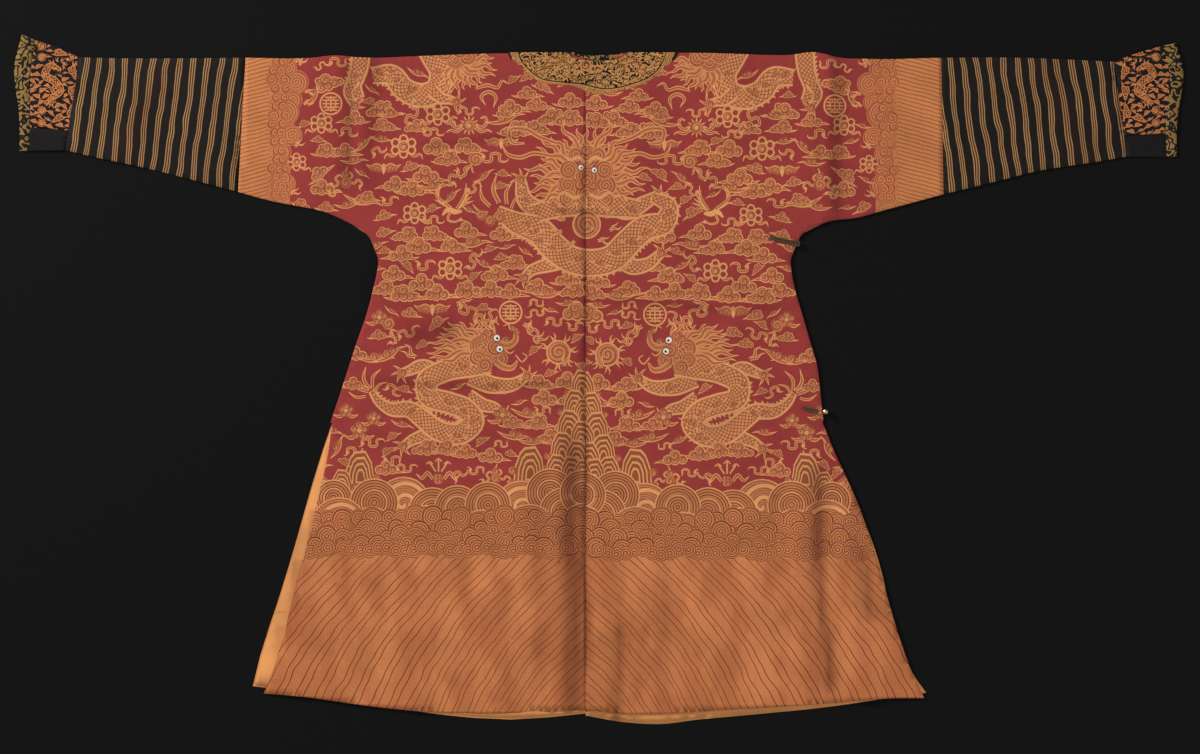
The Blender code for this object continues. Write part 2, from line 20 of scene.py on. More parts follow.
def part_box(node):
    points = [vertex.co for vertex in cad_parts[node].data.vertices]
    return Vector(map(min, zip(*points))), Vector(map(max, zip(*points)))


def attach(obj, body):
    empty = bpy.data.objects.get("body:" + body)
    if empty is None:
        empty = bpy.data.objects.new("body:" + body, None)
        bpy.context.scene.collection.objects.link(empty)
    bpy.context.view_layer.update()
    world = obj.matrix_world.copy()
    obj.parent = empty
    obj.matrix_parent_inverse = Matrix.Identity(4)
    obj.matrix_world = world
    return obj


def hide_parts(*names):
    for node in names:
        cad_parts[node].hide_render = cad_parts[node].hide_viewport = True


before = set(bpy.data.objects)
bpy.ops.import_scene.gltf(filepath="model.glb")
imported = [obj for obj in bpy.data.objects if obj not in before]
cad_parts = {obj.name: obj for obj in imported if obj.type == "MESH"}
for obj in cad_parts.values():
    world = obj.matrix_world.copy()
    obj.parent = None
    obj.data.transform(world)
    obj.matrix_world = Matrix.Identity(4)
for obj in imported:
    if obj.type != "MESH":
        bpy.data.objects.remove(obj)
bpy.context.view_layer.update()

bl_info = {
    "name": "Dragon robe",
    "version": (1, 0, 0),
    "blender": (4, 5, 0),
    "location": "3D View > Sidebar > Robe",
    "description": "Dresses the packed dragon robe in figured silk",
    "category": "Object",
}

MM = 0.001
FIGURE = "figure"            # corner attribute: place within a woven shape, in millimetres
PAINTED_FOLD_SHADE = "painted_fold_shade"            # vertex attribute: painted shade of the folds, by how deep a place lies in a fold
NARROWEST_CUT = 0.0102       # metres: the least width that a strip's cut is given

# Plan places, in millimetres.
CENTRE_X = -24.0             # centre seam of the back
MIRROR_X = -29.0             # the right half repeats the left half's figures about this line
MIRROR_DROP = -4.0           # shift in Y of the repeated figures
HEM_TOP = -302.0             # the slanting hem bands begin here
VENT_TOP = -78.0
UNDERARM = (-400.0, 310.0)   # left of and below this place, down to the vent, no curls are strewn
NECK = (-2.0, 586.0)

# Shares of a drawing's size.
CLOUD_SWELL = 1.02           # clouds, wisps and ribbons
HEAD_SWELL = 1.14            # the great dragon's head


def linear(code):
    """Turn a hexadecimal screen colour into linear light."""
    parts = [(code >> shift & 255) / 255 for shift in (16, 8, 0)]
    return tuple(c / 12.92 if c <= 0.04045 else ((c + 0.055) / 1.055) ** 2.4 for c in parts)


def colour_property(name, description, code):
    """A colour that the sidebar can change."""
    return bpy.props.FloatVectorProperty(
        name=name, description=description, subtype="COLOR", size=3, min=0, max=1,
        default=linear(code))


def length_property(name, description, default):
    """A length that the sidebar can change, in metres."""
    return bpy.props.FloatProperty(
        name=name, description=description, default=default, min=0.0001, unit="LENGTH")


class RobeSizes(bpy.types.PropertyGroup):
    """Sizes of the robe's cloth."""

    silk: length_property("Silk", "Thickness of the figured silk", 0.0008)
    lining: length_property("Lining", "Thickness of the lining", 0.0006)
    cell: length_property("Cell", "Size of the cloth's mesh cells", 0.014)
    bulge: length_property("Fold", "How far a fold swells past its line", 0.0014)
    camera_height: length_property("Camera height", "Height of the camera", 5.11)


class RobeColours(bpy.types.PropertyGroup):
    """Colours of the robe's silks and threads."""

    ground: colour_property("Ground", "Crimson ground of the silk", 0x9C3A37)
    gold: colour_property("Gold", "Woven gold figures", 0xC1784A)
    bright: colour_property("Bright gold", "Outlines of the figures", 0xDD9A60)
    brown: colour_property("Brown", "Shaded lines within the figures", 0x8E4034)
    hem: colour_property("Hem gold", "Gold of the hem bands", 0xC67A4A)
    rock: colour_property("Rocks", "Shaded faces of the rocks", 0x9C5234)
    hem_line: colour_property("Hem line", "Lines of the hem bands", 0x66201E)
    # painted shade: the colour that the depths of the folds are darkened towards
    painted_fold_shade: colour_property("Hollow", "Depths of the folds", 0x481410)
    lining: colour_property("Lining", "Lining of the body", 0xE59A5A)
    stripe_ground: colour_property("Stripe ground", "Ground of the sleeves", 0x1A1613)
    stripe: colour_property("Stripe", "Stripes of the sleeves", 0xAE8452)
    stripe_bed: colour_property("Stripe bed", "Silk between the stripes of a group", 0x442820)
    black: colour_property("Black", "Black satin", 0x181516)
    cuff_gold: colour_property("Cuff gold", "Figures of the cuffs", 0xD4813F)
    scroll: colour_property("Scroll gold", "Scrolls of the bands", 0x8E6E3A)
    ochre: colour_property("Ochre", "Line within the cuffs' bands", 0xA8823C)
    collar_gold: colour_property("Collar gold", "Figures of the collar", 0xC48A4E)
    piping: colour_property("Piping", "Dark line within the collar's border", 0x2A1512)
    eye: colour_property("Eye", "White of the dragons' eyes", 0xF4E9DC)
    cord: colour_property("Cord", "Closing loops", 0x3A3226)
    cord_light: colour_property("Cord light", "Light strand of the loops", 0x6E5C42)
    brass: colour_property("Brass", "Button", 0xE6D2AC)
    floor: colour_property("Floor", "Floor under the robe", 0x0C0E0C)


def sizes():
    """The robe's sizes."""
    return bpy.context.scene.robe_sizes


def colour(name):
    """One of the robe's colours, opaque."""
    return (*getattr(bpy.context.scene.robe_colours, name), 1.0)


# ---------------------------------------------------------------- plan curves and woven shapes


def heading(degrees):
    """Cosine and sine of an angle."""
    return math.cos(math.radians(degrees)), math.sin(math.radians(degrees))


def smooth(points, step):
    """Run a smooth curve through points and read it at about even steps."""
    knots = np.array(points, float)
    at = np.concatenate([[0.0], np.cumsum(np.hypot(*np.diff(knots, axis=0).T))])
    slopes = np.gradient(knots, at, axis=0)
    fine = np.linspace(0, at[-1], max(2, math.ceil(at[-1] / step)) + 1)
    piece = np.clip(np.searchsorted(at, fine, side="right") - 1, 0, len(knots) - 2)
    span = (at[piece + 1] - at[piece])[:, None]
    t = (fine - at[piece])[:, None] / span
    return (
        (2 * t**3 - 3 * t**2 + 1) * knots[piece]
        + (t**3 - 2 * t**2 + t) * span * slopes[piece]
        + (3 * t**2 - 2 * t**3) * knots[piece + 1]
        + (t**3 - t**2) * span * slopes[piece + 1]
    )


def signed_area(points):
    """Area of a polygon, positive when it runs anticlockwise."""
    x, y = np.array(points, float).T
    return 0.5 * float(np.dot(x, np.roll(y, -1)) - np.dot(y, np.roll(x, -1)))


Disc = namedtuple("Disc", "x y radius")
Run = namedtuple("Run", "x0 y0 x1 y1 start half0 half1")


def within(point, shape):
    """Place of a point in a woven shape: offsets and radius, or length, offset and half width."""
    x, y = point
    if isinstance(shape, Disc):
        return (x - shape.x, y - shape.y, shape.radius)
    if isinstance(shape, Run):
        run_x, run_y = shape.x1 - shape.x0, shape.y1 - shape.y0
        length = math.hypot(run_x, run_y)
        off_x, off_y = x - shape.x0, y - shape.y0
        share = (off_x * run_x + off_y * run_y) / length**2
        across = (off_y * run_x - off_x * run_y) / length
        share = min(1.0, max(0.0, share))
        half = shape.half0 + (shape.half1 - shape.half0) * share
        return (shape.start + share * length, across, half)
    return (x, y, 0.0)


SMALLEST_SHAPE = 0.05        # square millimetres


class Pattern:
    """Woven shapes of a panel, each laid over the ones before it."""

    def __init__(self, ground):
        self.ground = ground
        self.shapes = []

    def add(self, points, finish, shape=None):
        """Lay a polygon in a finish."""
        area = signed_area(points)
        if abs(area) > SMALLEST_SHAPE:
            self.shapes.append((points if area > 0 else points[::-1], finish, shape))


class Pen:
    """Draws woven shapes in a motif's own coordinates, moved, scaled, turned and mirrored."""

    def __init__(self, pattern, x=0.0, y=0.0, size=1.0, turn=0.0, flip=1):
        self.pattern = pattern
        self.origin = np.array([x, y], float)
        self.size = size
        c, s = (share * size for share in heading(turn))
        self.matrix = np.array([[c, -s], [s, c]]) @ np.diag([flip, 1])

    def at(self, x, y, size=1.0, turn=0.0, flip=1):
        """A pen for a motif within this one."""
        place = self.place([(x, y)])[0]
        pen = Pen(self.pattern, *place)
        turned = Pen(None, 0, 0, size, turn, flip)
        pen.matrix = self.matrix @ turned.matrix
        pen.size = self.size * size
        return pen

    def place(self, points):
        """Carry points from the motif to the panel."""
        return np.array(points, float) @ self.matrix.T + self.origin

    def disc(self, x, y, radius, finish, sides=None, squash=1.0):
        """A round shape."""
        sides = sides or max(7, min(24, int(radius * self.size)))
        angles = np.arange(sides) * 2 * math.pi / sides
        ring = np.stack([x + radius * np.cos(angles), y + radius * squash * np.sin(angles)], axis=1)
        centre = self.place([(x, y)])[0]
        self.pattern.add(self.place(ring), finish, Disc(*centre, radius * self.size))

    def discs(self, rows, finish):
        """Round shapes, from rows of x, y and radius."""
        for x, y, radius in rows:
            self.disc(x, y, radius, finish)

    def area(self, points, finish):
        """A plain polygon."""
        self.pattern.add(self.place(points), finish)

    def strip(self, points, widths, finish, step=6.0):
        """A band along a smooth curve, whose width changes evenly between the widths given."""
        line = self.place(smooth(points, step / self.size))
        lengths = np.hypot(*np.diff(line, axis=0).T)
        at = np.concatenate([[0.0], np.cumsum(lengths)])
        half = np.interp(at / at[-1], np.linspace(0, 1, len(widths)), widths) * self.size / 2
        along = np.gradient(line, axis=0)
        along /= np.maximum(np.linalg.norm(along, axis=1), 1e-9)[:, None]
        left = np.stack([-along[:, 1], along[:, 0]], axis=1) * half[:, None]
        for i in range(len(line) - 1):
            run = Run(*line[i], *line[i + 1], at[i], half[i], half[i + 1])
            corners = [line[i] - left[i], line[i + 1] - left[i + 1],
                       line[i + 1] + left[i + 1], line[i] + left[i]]
            first, second = signed_area(corners[:3]), signed_area([corners[0], *corners[2:]])
            if first > 0 and second > 0:
                self.pattern.add(np.array(corners), finish, run)
            else:
                self.pattern.add(np.array(corners[:3]), finish, run)
                self.pattern.add(np.array([corners[0], *corners[2:]]), finish, run)


# ---------------------------------------------------------------- motifs


def draw_cloud(pen, seed):
    """A cloud of curled lobes on a flat foot, with a pointed tail on one or both sides."""
    luck = random.Random(seed)
    pen.strip([(12, -6), (26, -5 - 3 * luck.random()), (40, -9)], (9, 6, 0.8), "ribbon")
    if seed % 3:
        pen.strip([(-12, -6), (-24, -8), (-34, -5)], (8, 5, 0.8), "ribbon")
    lobes = [(-13, -3, 8.5), (13, -3, 9), (0, -5, 8.5), (0, 6, 10)]
    if seed % 4 == 1:
        lobes += [(-21, -5, 6), (11, 9, 6.5)]
    elif seed % 4 == 2:
        lobes += [(21, -5, 6.5), (-11, 8, 6)]
    lobes = [(x + luck.uniform(-1.5, 1.5), y + luck.uniform(-1, 1), radius) for x, y, radius in lobes]
    for swell, finish in ((1, "line"), (-0.9, "cloud")):
        pen.discs([(x, y, radius + swell) for x, y, radius in lobes], finish)


def draw_wisp(pen, seed):
    """A small trailing cloud, two lobes with long tails."""
    luck = random.Random(seed)
    pen.strip([(-38, 2), (-18, -4), (4, -3), (20, 3), (36, 0)], (0.8, 7, 9, 6, 0.8), "ribbon")
    pen.disc(-6, 3, 8 + luck.random(), "cloud")
    pen.disc(7, 4, 7, "cloud")


def draw_ribbon(pen, seed):
    """A fluttering ribbon with curled ends."""
    bend = 1 if seed % 2 else -1
    turns = 2.5 + 0.5 * (seed % 3)
    line = [(4.6 * phi + 3.6 * math.sin(2 * phi) - 2.3 * turns * math.pi, bend * 7.5 * math.cos(phi))
            for phi in np.arange(0, turns * math.pi, 0.45)]
    pen.strip(line, (1, 4.6, 5.4, 5.4, 5.0, 4.4, 1), "ribbon", 3.4)
    pen.disc(*line[3], 4.0, "line")


def draw_flame(pen, seed=0):
    """A flame with two tongues."""
    pen.strip([(0, 0), (10, 4), (18, 0), (28, 5)], (7, 6, 4, 0.6), "ribbon", 4)
    pen.strip([(2, 1), (8, 9), (16, 11), (22, 17)], (5, 5, 3, 0.6), "ribbon", 4)


def draw_knot(pen, seed):
    """An endless knot with four pairs of loops and two tassels."""
    for side in (-1, 1):
        pen.strip([(side * 8, -9), (side * 19, -17), (side * 29, -13), (side * 33, -22)],
                  (4, 5, 4, 0.8), "ribbon", 4)
    loops = [heading(angle) for angle in range(30, 390, 60)]
    for radius, finish in ((8.5, "line"), (5.2, "ground")):
        pen.discs([(16 * c, 13 * s, radius) for c, s in loops], finish)
    pen.disc(0, 0, 11, "line")
    pen.disc(0, 0, 8.5, "cloud")
    pen.disc(0, 0, 2.5, "line")


def draw_wheel(pen, seed):
    """A wheel with rays and a ribbon on each side."""
    for side in (-1, 1):
        pen.strip([(side * 12, 2), (side * 24, -4), (side * 34, 6), (side * 30, 16),
                   (side * 22, 13)], (5, 6, 6, 5, 3), "ribbon", 4)
        pen.strip([(side * 12, -4), (side * 24, -12), (side * 36, -9), (side * 44, -14)],
                  (5, 6, 5, 0.8), "ribbon", 4)
    for angle in range(0, 360, 30):
        c, s = heading(angle)
        pen.strip([(8 * c, 8 * s), (19 * c, 19 * s)], (5, 1), "line", 20)
    pen.disc(0, 0, 12, "cloud")
    pen.disc(0, 0, 4, "line")


def draw_bat(pen, seed):
    """A bat with scalloped wings."""
    for side in (-1, 1):
        pen.strip([(side * 3, 2), (side * 13, 8), (side * 24, 5), (side * 33, 10)],
                  (9, 10, 7, 1), "ribbon", 4)
        for x, y, radius in ((9, -1, 4.5), (16, 1, 4.5), (23, 1, 4)):
            pen.disc(side * x, y, radius, "cloud")
    pen.strip([(0, 9), (0, 0), (0, -9)], (4, 9, 1), "cloud", 6)
    pen.disc(0, 8, 4, "line")


def draw_flower(pen, seed):
    """A five-petalled flower with two leaves."""
    for side in (-1, 1):
        pen.strip([(0, -4), (side * 14, -12), (side * 25, -8)], (4, 8, 1), "ribbon", 5)
    for angle in range(90, 450, 72):
        c, s = heading(angle)
        pen.disc(9 * c, 9 * s, 6.5, "cloud")
    pen.disc(0, 0, 4, "line")


def draw_gourd(pen, seed):
    """A double gourd tied with ribbons."""
    draw_ribbon(pen.at(-16, -4, 0.8, 40), 1)
    draw_ribbon(pen.at(16, -4, 0.8, -40, -1), 2)
    pen.disc(0, -7, 11, "cloud")
    pen.disc(0, 8, 8, "cloud")
    pen.strip([(0, 14), (3, 22)], (3, 2), "line")


def draw_fan(pen, seed):
    """A leaf fan on its handle, with a bow."""
    pen.strip([(-16, -20), (8, 10)], (3, 3), "line")
    pen.disc(9, 11, 13, "cloud", squash=0.8)
    draw_ribbon(pen.at(-8, -8, 0.8, 15), 1)


def draw_crane(pen, seed):
    """A flying crane with raised wings."""
    for turn in range(5):
        spread = 8 * turn
        pen.strip([(-4, -2), (-22 - spread * 0.3, 8 + spread * 0.6), (-34 + spread * 0.5, 14 + spread)],
                  (5, 5, 1), "ribbon", 6)
        pen.strip([(6, -2), (20, 6 + spread * 0.5), (36 - spread * 0.4, 12 + spread)],
                  (5, 5, 1), "ribbon", 6)
    pen.strip([(16, -6), (4, -8), (-10, -4), (-20, -14)], (4, 10, 9, 3), "cloud", 5)
    pen.strip([(-6, -8), (-10, -22), (2, -26), (12, -22)], (5, 4, 4, 3), "ribbon", 4)
    pen.disc(13, -22, 3.6, "line")
    pen.strip([(14, -22), (24, -25)], (2.5, 0.8), "line")


def draw_medallion(pen, seed):
    """A round fret within a ring."""
    pen.disc(0, 0, 22, "line", 28)
    pen.disc(0, 0, 18.6, "ground", 28)
    bars = []
    for y in (-12, -6.5, 6.5, 12):
        half = math.sqrt(16.5**2 - y * y)
        bars.append([(-half, y), (half, y)])
    bars += [[(-16, 0), (16, 0)], [(0, -15), (0, 15)]]
    for x in (-9, 9):
        bars += [[(x, -6.5), (x, 6.5)], [(x * 0.55, 6.5), (x * 0.55, 12)],
                 [(x * 0.55, -6.5), (x * 0.55, -12)]]
    for bar in bars:
        pen.strip(bar, (2.6, 2.6), "line", 40)


def draw_pearl(pen, seed):
    """A flaming pearl with a spiral."""
    for turn in range(-150, 200, 50):
        c, s = heading(turn)
        draw_flame(pen.at(20 * c, 20 * s, 0.7, turn))
    pen.disc(0, 0, 24, "line", 28)
    pen.disc(0, 0, 21, "pearl", 28)


def draw_claw(pen):
    """A paw with four hooked claws."""
    for turn in (-75, -25, 25, 75):
        c, s = heading(turn)
        pen.strip([(0, 0), (13 * c - 2 * s, 13 * s + 2 * c), (21 * c - 7 * s, 21 * s + 7 * c)],
                  (7, 5, 0.8), "ribbon", 4)
    pen.strip([(0, 0), (-12, 3), (-18, -4)], (6, 4, 0.8), "ribbon", 4)
    pen.disc(0, 0, 8, "cloud")


def draw_scales(pen, points, widths):
    """A scaled band with a bright border."""
    pen.strip(points, [width + 5 for width in widths], "line", 6)
    pen.strip(points, widths, "scales", 6)


def draw_limb(pen, points, widths):
    """A scaled leg with its claws at the far end."""
    draw_scales(pen, points, widths)
    (x0, y0), (x1, y1) = points[-2:]
    draw_claw(pen.at(x1, y1, 0.95, math.degrees(math.atan2(y1 - y0, x1 - x0))))


def draw_coil(pen, points, widths):
    """A scaled body with a bright border and a row of spines on its right."""
    line = smooth(points, 9)
    at = np.linspace(0, 1, len(line))
    half = np.interp(at, np.linspace(0, 1, len(widths)), widths) / 2
    along = np.gradient(line, axis=0)
    along /= np.linalg.norm(along, axis=1)[:, None]
    out = np.stack([along[:, 1], -along[:, 0]], axis=1)
    for i in range(1, len(line) - 1):
        root = line[i] + out[i] * half[i]
        tip = root + out[i] * 7.5 - along[i] * 2
        pen.area([root - along[i] * 4.5, tip, root + along[i] * 4.5], "line")
    draw_scales(pen, points, widths)


def draw_plumes(pen, rows, tip):
    """The curved plumes of a tail, from rows of x, y, turn and size."""
    for x, y, turn, size in rows:
        pen.at(x, y, size, turn).strip([(0, 0), (16, 5), (32, tip)], (5, 5, 0.8), "ribbon", 4)


def draw_mane(pen, middle, inner, spread, angles, seed):
    """Dense flowing strands round a head, from an inner radius out to the spread in X and Y."""
    luck = random.Random(seed)
    x, y = middle
    for angle in range(*angles):
        c, s = heading(angle)
        reach = luck.uniform(0.8, 1.08)
        tip = (x + spread[0] * reach * c, y + spread[1] * reach * s)
        root = (x + inner * c, y + inner * s)
        bend = luck.choice((-1, 1)) * 5
        points = [root]
        for share, sway in ((0.35, bend), (0.65, -bend * 0.8), (0.85, bend * 0.4)):
            points.append((root[0] + (tip[0] - root[0]) * share - s * sway,
                           root[1] + (tip[1] - root[1]) * share + c * sway))
        pen.strip(points + [tip], (11, 10, 9, 7, 1), "ribbon", 7)


def draw_eye(pen, x, y, size=1.0):
    """A round eye with its pupil."""
    pen.disc(x, y, 7.4 * size, "brown", 14)
    pen.disc(x, y, 5.6 * size, "eye", 14)
    pen.disc(x + 0.8 * size, y - 0.8 * size, 2.3 * size, "pupil", 10)


CLAW_LIMBS = [
    ([(-70, 318), (-108, 306), (-132, 322), (-141, 360)], (30, 32, 26, 15)),
    ([(20, 316), (52, 304), (82, 318), (106, 332)], (30, 30, 24, 14)),
    ([(-60, 215), (-96, 205), (-122, 196), (-134, 184)], (26, 24, 18, 13)),
    ([(38, 222), (58, 204), (88, 208), (112, 228)], (28, 26, 20, 13)),
]


def draw_front_dragon(pen):
    """The great dragon of the back: its face looks out, and its body coils round a pearl."""
    for points, widths in CLAW_LIMBS:
        draw_limb(pen, points, widths)
    draw_coil(pen, [(-184, 304), (-152, 284), (-106, 266), (-83, 240), (-49, 216), (-16, 210),
                    (23, 218), (52, 246), (83, 273), (119, 284), (126, 312), (98, 328)],
              (18, 36, 46, 48, 46, 46, 46, 46, 44, 40, 30, 16))
    draw_plumes(pen, ((-196, 312, 115, 1.3), (-180, 318, 95, 1.6), (-166, 316, 75, 1.3),
                      (-200, 300, 150, 1.0), (-158, 308, 50, 1.0)), 0)
    pen.discs([(-212, 296, 10), (-196, 286, 10), (-178, 292, 10)], "cloud")
    # a part of the body that shows on both sides of the head
    draw_scales(pen, [(-112, 300), (-72, 312), (-22, 316), (30, 312), (74, 306)], (30, 38, 40, 38, 30))
    head = pen.at(-22 * (1 - HEAD_SWELL), 366 * (1 - HEAD_SWELL), HEAD_SWELL)
    draw_mane(head, (-22, 366), 30, (96, 76), (-36, 218, 9), 1)
    for side in (-1, 1):
        face = head.at(-22, 0, 1, 0, side)
        face.strip([(46, 418), (74, 428), (96, 440), (122, 438), (118, 420), (98, 418)],
                   (5, 7, 8, 8, 6, 3), "ribbon", 4)
        face.strip([(56, 398), (86, 402), (104, 396), (126, 402), (134, 416)],
                   (6, 7, 7, 6, 0.8), "ribbon", 4)
        face.strip([(10, 402), (20, 426), (38, 440), (34, 456)], (9, 8, 7, 1), "ribbon", 4)
    head.discs([(-52, 352, 17), (8, 352, 17), (-50, 376, 15), (6, 376, 15), (-22, 398, 18),
                (-22, 366, 18), (-22, 336, 20), (-52, 330, 14), (8, 330, 14), (-40, 400, 12),
                (-4, 400, 12)], "face")
    head.discs([(-32, 352, 9), (-12, 352, 9), (-22, 358, 10), (-22, 406, 9), (-36, 394, 8),
                (-8, 394, 8)], "cloud")
    for side in (-1, 1):
        face = head.at(-22, 0, 1, 0, side)
        face.strip([(2, 388), (14, 396), (26, 392), (36, 398)], (4, 6, 5, 1), "line", 4)
        face.strip([(4, 338), (20, 332), (36, 340), (48, 332)], (5, 6, 5, 1), "line", 4)
        face.strip([(6, 328), (14, 318), (10, 306)], (5, 5, 1), "ribbon", 4)
        face.strip([(20, 326), (32, 316), (30, 306)], (5, 5, 1), "ribbon", 4)
    draw_eye(head, -31, 380, 0.72)
    draw_eye(head, -10, 376, 0.72)
    for x, y, turn in ((-66, 268, 170), (-60, 288, 140), (20, 268, 10), (14, 290, 40), (-22, 308, 90),
                       (-44, 250, 200), (-2, 250, -20)):
        draw_flame(pen.at(x, y, 0.8, turn))
    pen.disc(-22, 279, 26, "line", 28)
    pen.disc(-22, 279, 23, "pearl", 28)


def draw_side_dragon(pen, seed):
    """A striding dragon of the skirt, which turns its head to a pearl."""
    draw_limb(pen, [(-232, 6), (-190, -10), (-152, -8), (-130, 6)], (30, 29, 22, 12))
    draw_limb(pen, [(-236, -30), (-208, -46), (-186, -52), (-176, -62)], (24, 22, 18, 12))
    draw_limb(pen, [(-292, 12), (-322, 24), (-342, 16), (-354, 12)], (26, 24, 17, 12))
    draw_limb(pen, [(-276, -86), (-312, -100), (-338, -110), (-352, -120)], (26, 24, 18, 12))
    draw_coil(pen, [(-196, 30), (-240, 24), (-282, 14), (-310, -4), (-308, -28), (-270, -42),
                    (-240, -54), (-226, -74), (-246, -96), (-290, -92), (-316, -72), (-342, -54),
                    (-374, -54), (-398, -38), (-410, -20)],
              (36, 39, 37, 36, 36, 36, 36, 36, 36, 35, 33, 30, 24, 16, 8))
    draw_plumes(pen, ((-412, -18, 105, 1.3), (-408, -16, 70, 1.2), (-416, -22, 140, 1.2),
                      (-404, -22, 40, 0.9), (-420, -30, 170, 1.0)), -2)
    draw_mane(pen, (-206, 56), 20, (100, 56), (78, 212, 10), 2)
    pen.discs([(-214, 60, 20), (-198, 48, 19), (-218, 40, 16), (-196, 72, 15), (-178, 38, 14),
               (-206, 26, 14), (-186, 58, 16)], "face")
    pen.discs([(-168, 70, 8), (-176, 50, 7), (-180, 30, 8), (-198, 84, 8), (-208, 78, 7)], "cloud")
    pen.strip([(-178, 64), (-163, 61), (-151, 70), (-150, 92)], (12, 13, 11, 5), "ribbon", 5)
    pen.strip([(-186, 32), (-170, 22), (-156, 21), (-147, 34)], (12, 12, 10, 3), "ribbon", 5)
    pen.strip([(-170, 54), (-160, 47), (-152, 52)], (3, 3, 1), "line", 4)
    pen.discs([(-148, 84, 5.5), (-156, 92, 5.5)], "cloud")
    pen.strip([(-186, 86), (-196, 98), (-188, 106), (-180, 98)], (2.6, 2.6, 2.6, 1.5), "line", 3)
    pen.strip([(-160, 90), (-164, 100), (-172, 96)], (2.6, 2.6, 1.2), "line", 3)
    pen.strip([(-150, 44), (-138, 32), (-130, 42), (-138, 48)], (2.6, 2.6, 2.6, 1.5), "line", 3)
    pen.strip([(-196, 90), (-208, 104), (-204, 120)], (6, 5, 1), "ribbon", 4)
    draw_eye(pen, -184, 75)
    draw_eye(pen, -179, 55)


def draw_shoulder_dragon(pen, seed):
    """A dragon that passes over the shoulder."""
    draw_coil(pen, [(-428, 600), (-432, 560), (-440, 528), (-430, 505)], (32, 30, 26, 14))
    draw_coil(pen, [(-408, 548), (-372, 548), (-352, 524), (-322, 512), (-292, 522), (-284, 552),
                    (-300, 584), (-312, 604)], (26, 34, 38, 40, 40, 40, 40, 38))
    draw_limb(pen, [(-440, 540), (-452, 518), (-446, 502), (-440, 494)], (18, 16, 12, 9))
    draw_limb(pen, [(-300, 520), (-282, 506), (-268, 504), (-258, 500)], (20, 18, 14, 10))
    draw_mane(pen, (-256, 578), 16, (76, 66), (-118, 8, 10), 3)
    pen.discs([(-258, 576, 18), (-236, 582, 16), (-276, 590, 18), (-250, 594, 16)], "face")
    pen.strip([(-222, 524), (-200, 530), (-182, 526), (-174, 538), (-162, 532)], (4, 7, 6, 5, 1),
              "ribbon", 4)
    pen.strip([(-204, 494), (-212, 510), (-198, 518), (-186, 510), (-190, 490)], (1, 6, 7, 6, 1),
              "ribbon", 4)


def draw_rock(pen, seed):
    """A standing rock: a jagged slab of nested outlines."""
    lean = 1 if seed % 2 else -1
    slab = [(-30, -52), (-26, 0), (-17, 26), (-8, 36), (12, 38), (24, 16), (27, -6), (38, -40),
            (36, -52)]
    for step in range(4):
        for finish, share in (("line", 1 - 0.23 * step), ("rock", 1 - 0.23 * step - 0.09)):
            nested = [(lean * (3 + (x - 3) * share), -12 + (y + 12) * share) for x, y in slab]
            pen.area(nested[::lean], finish)
    for y in (-30, -6):
        pen.disc(-lean * 30, y, 8, "cloud")
        pen.disc(lean * 34, y - 8, 8, "cloud")


def draw_trident(pen, seed):
    """Three prongs that stand in the foam, with ribbons."""
    for turn in (-38, 0, 38):
        c, s = heading(turn)
        pen.strip([(8 * s, 4), (26 * s, 26 * c)], (3, 3), "line", 40)
        pen.strip([(26 * s - 6, 22 * c), (26 * s, 28 * c), (26 * s + 6, 22 * c)], (2.4, 2.6, 2.4),
                  "line", 5)
    for y in (-4, -9, -14):
        pen.disc(0, y, 9, "cloud", squash=0.5)
    for side in (-1, 1):
        pen.strip([(side * 10, -10), (side * 20, 2), (side * 30, -8), (side * 40, 0)],
                  (5, 7, 6, 1), "ribbon", 4)


# Each is drawn from a pen and a seed, which varies the clouds, ribbons and rocks.
MOTIFS = {
    "cloud": draw_cloud, "wisp": draw_wisp, "ribbon": draw_ribbon, "flame": draw_flame,
    "knot": draw_knot, "wheel": draw_wheel, "bat": draw_bat, "flower": draw_flower,
    "gourd": draw_gourd, "fan": draw_fan, "crane": draw_crane, "medallion": draw_medallion,
    "pearl": draw_pearl, "rock": draw_rock, "trident": draw_trident,
    "shoulder_dragon": draw_shoulder_dragon, "side_dragon": draw_side_dragon,
}

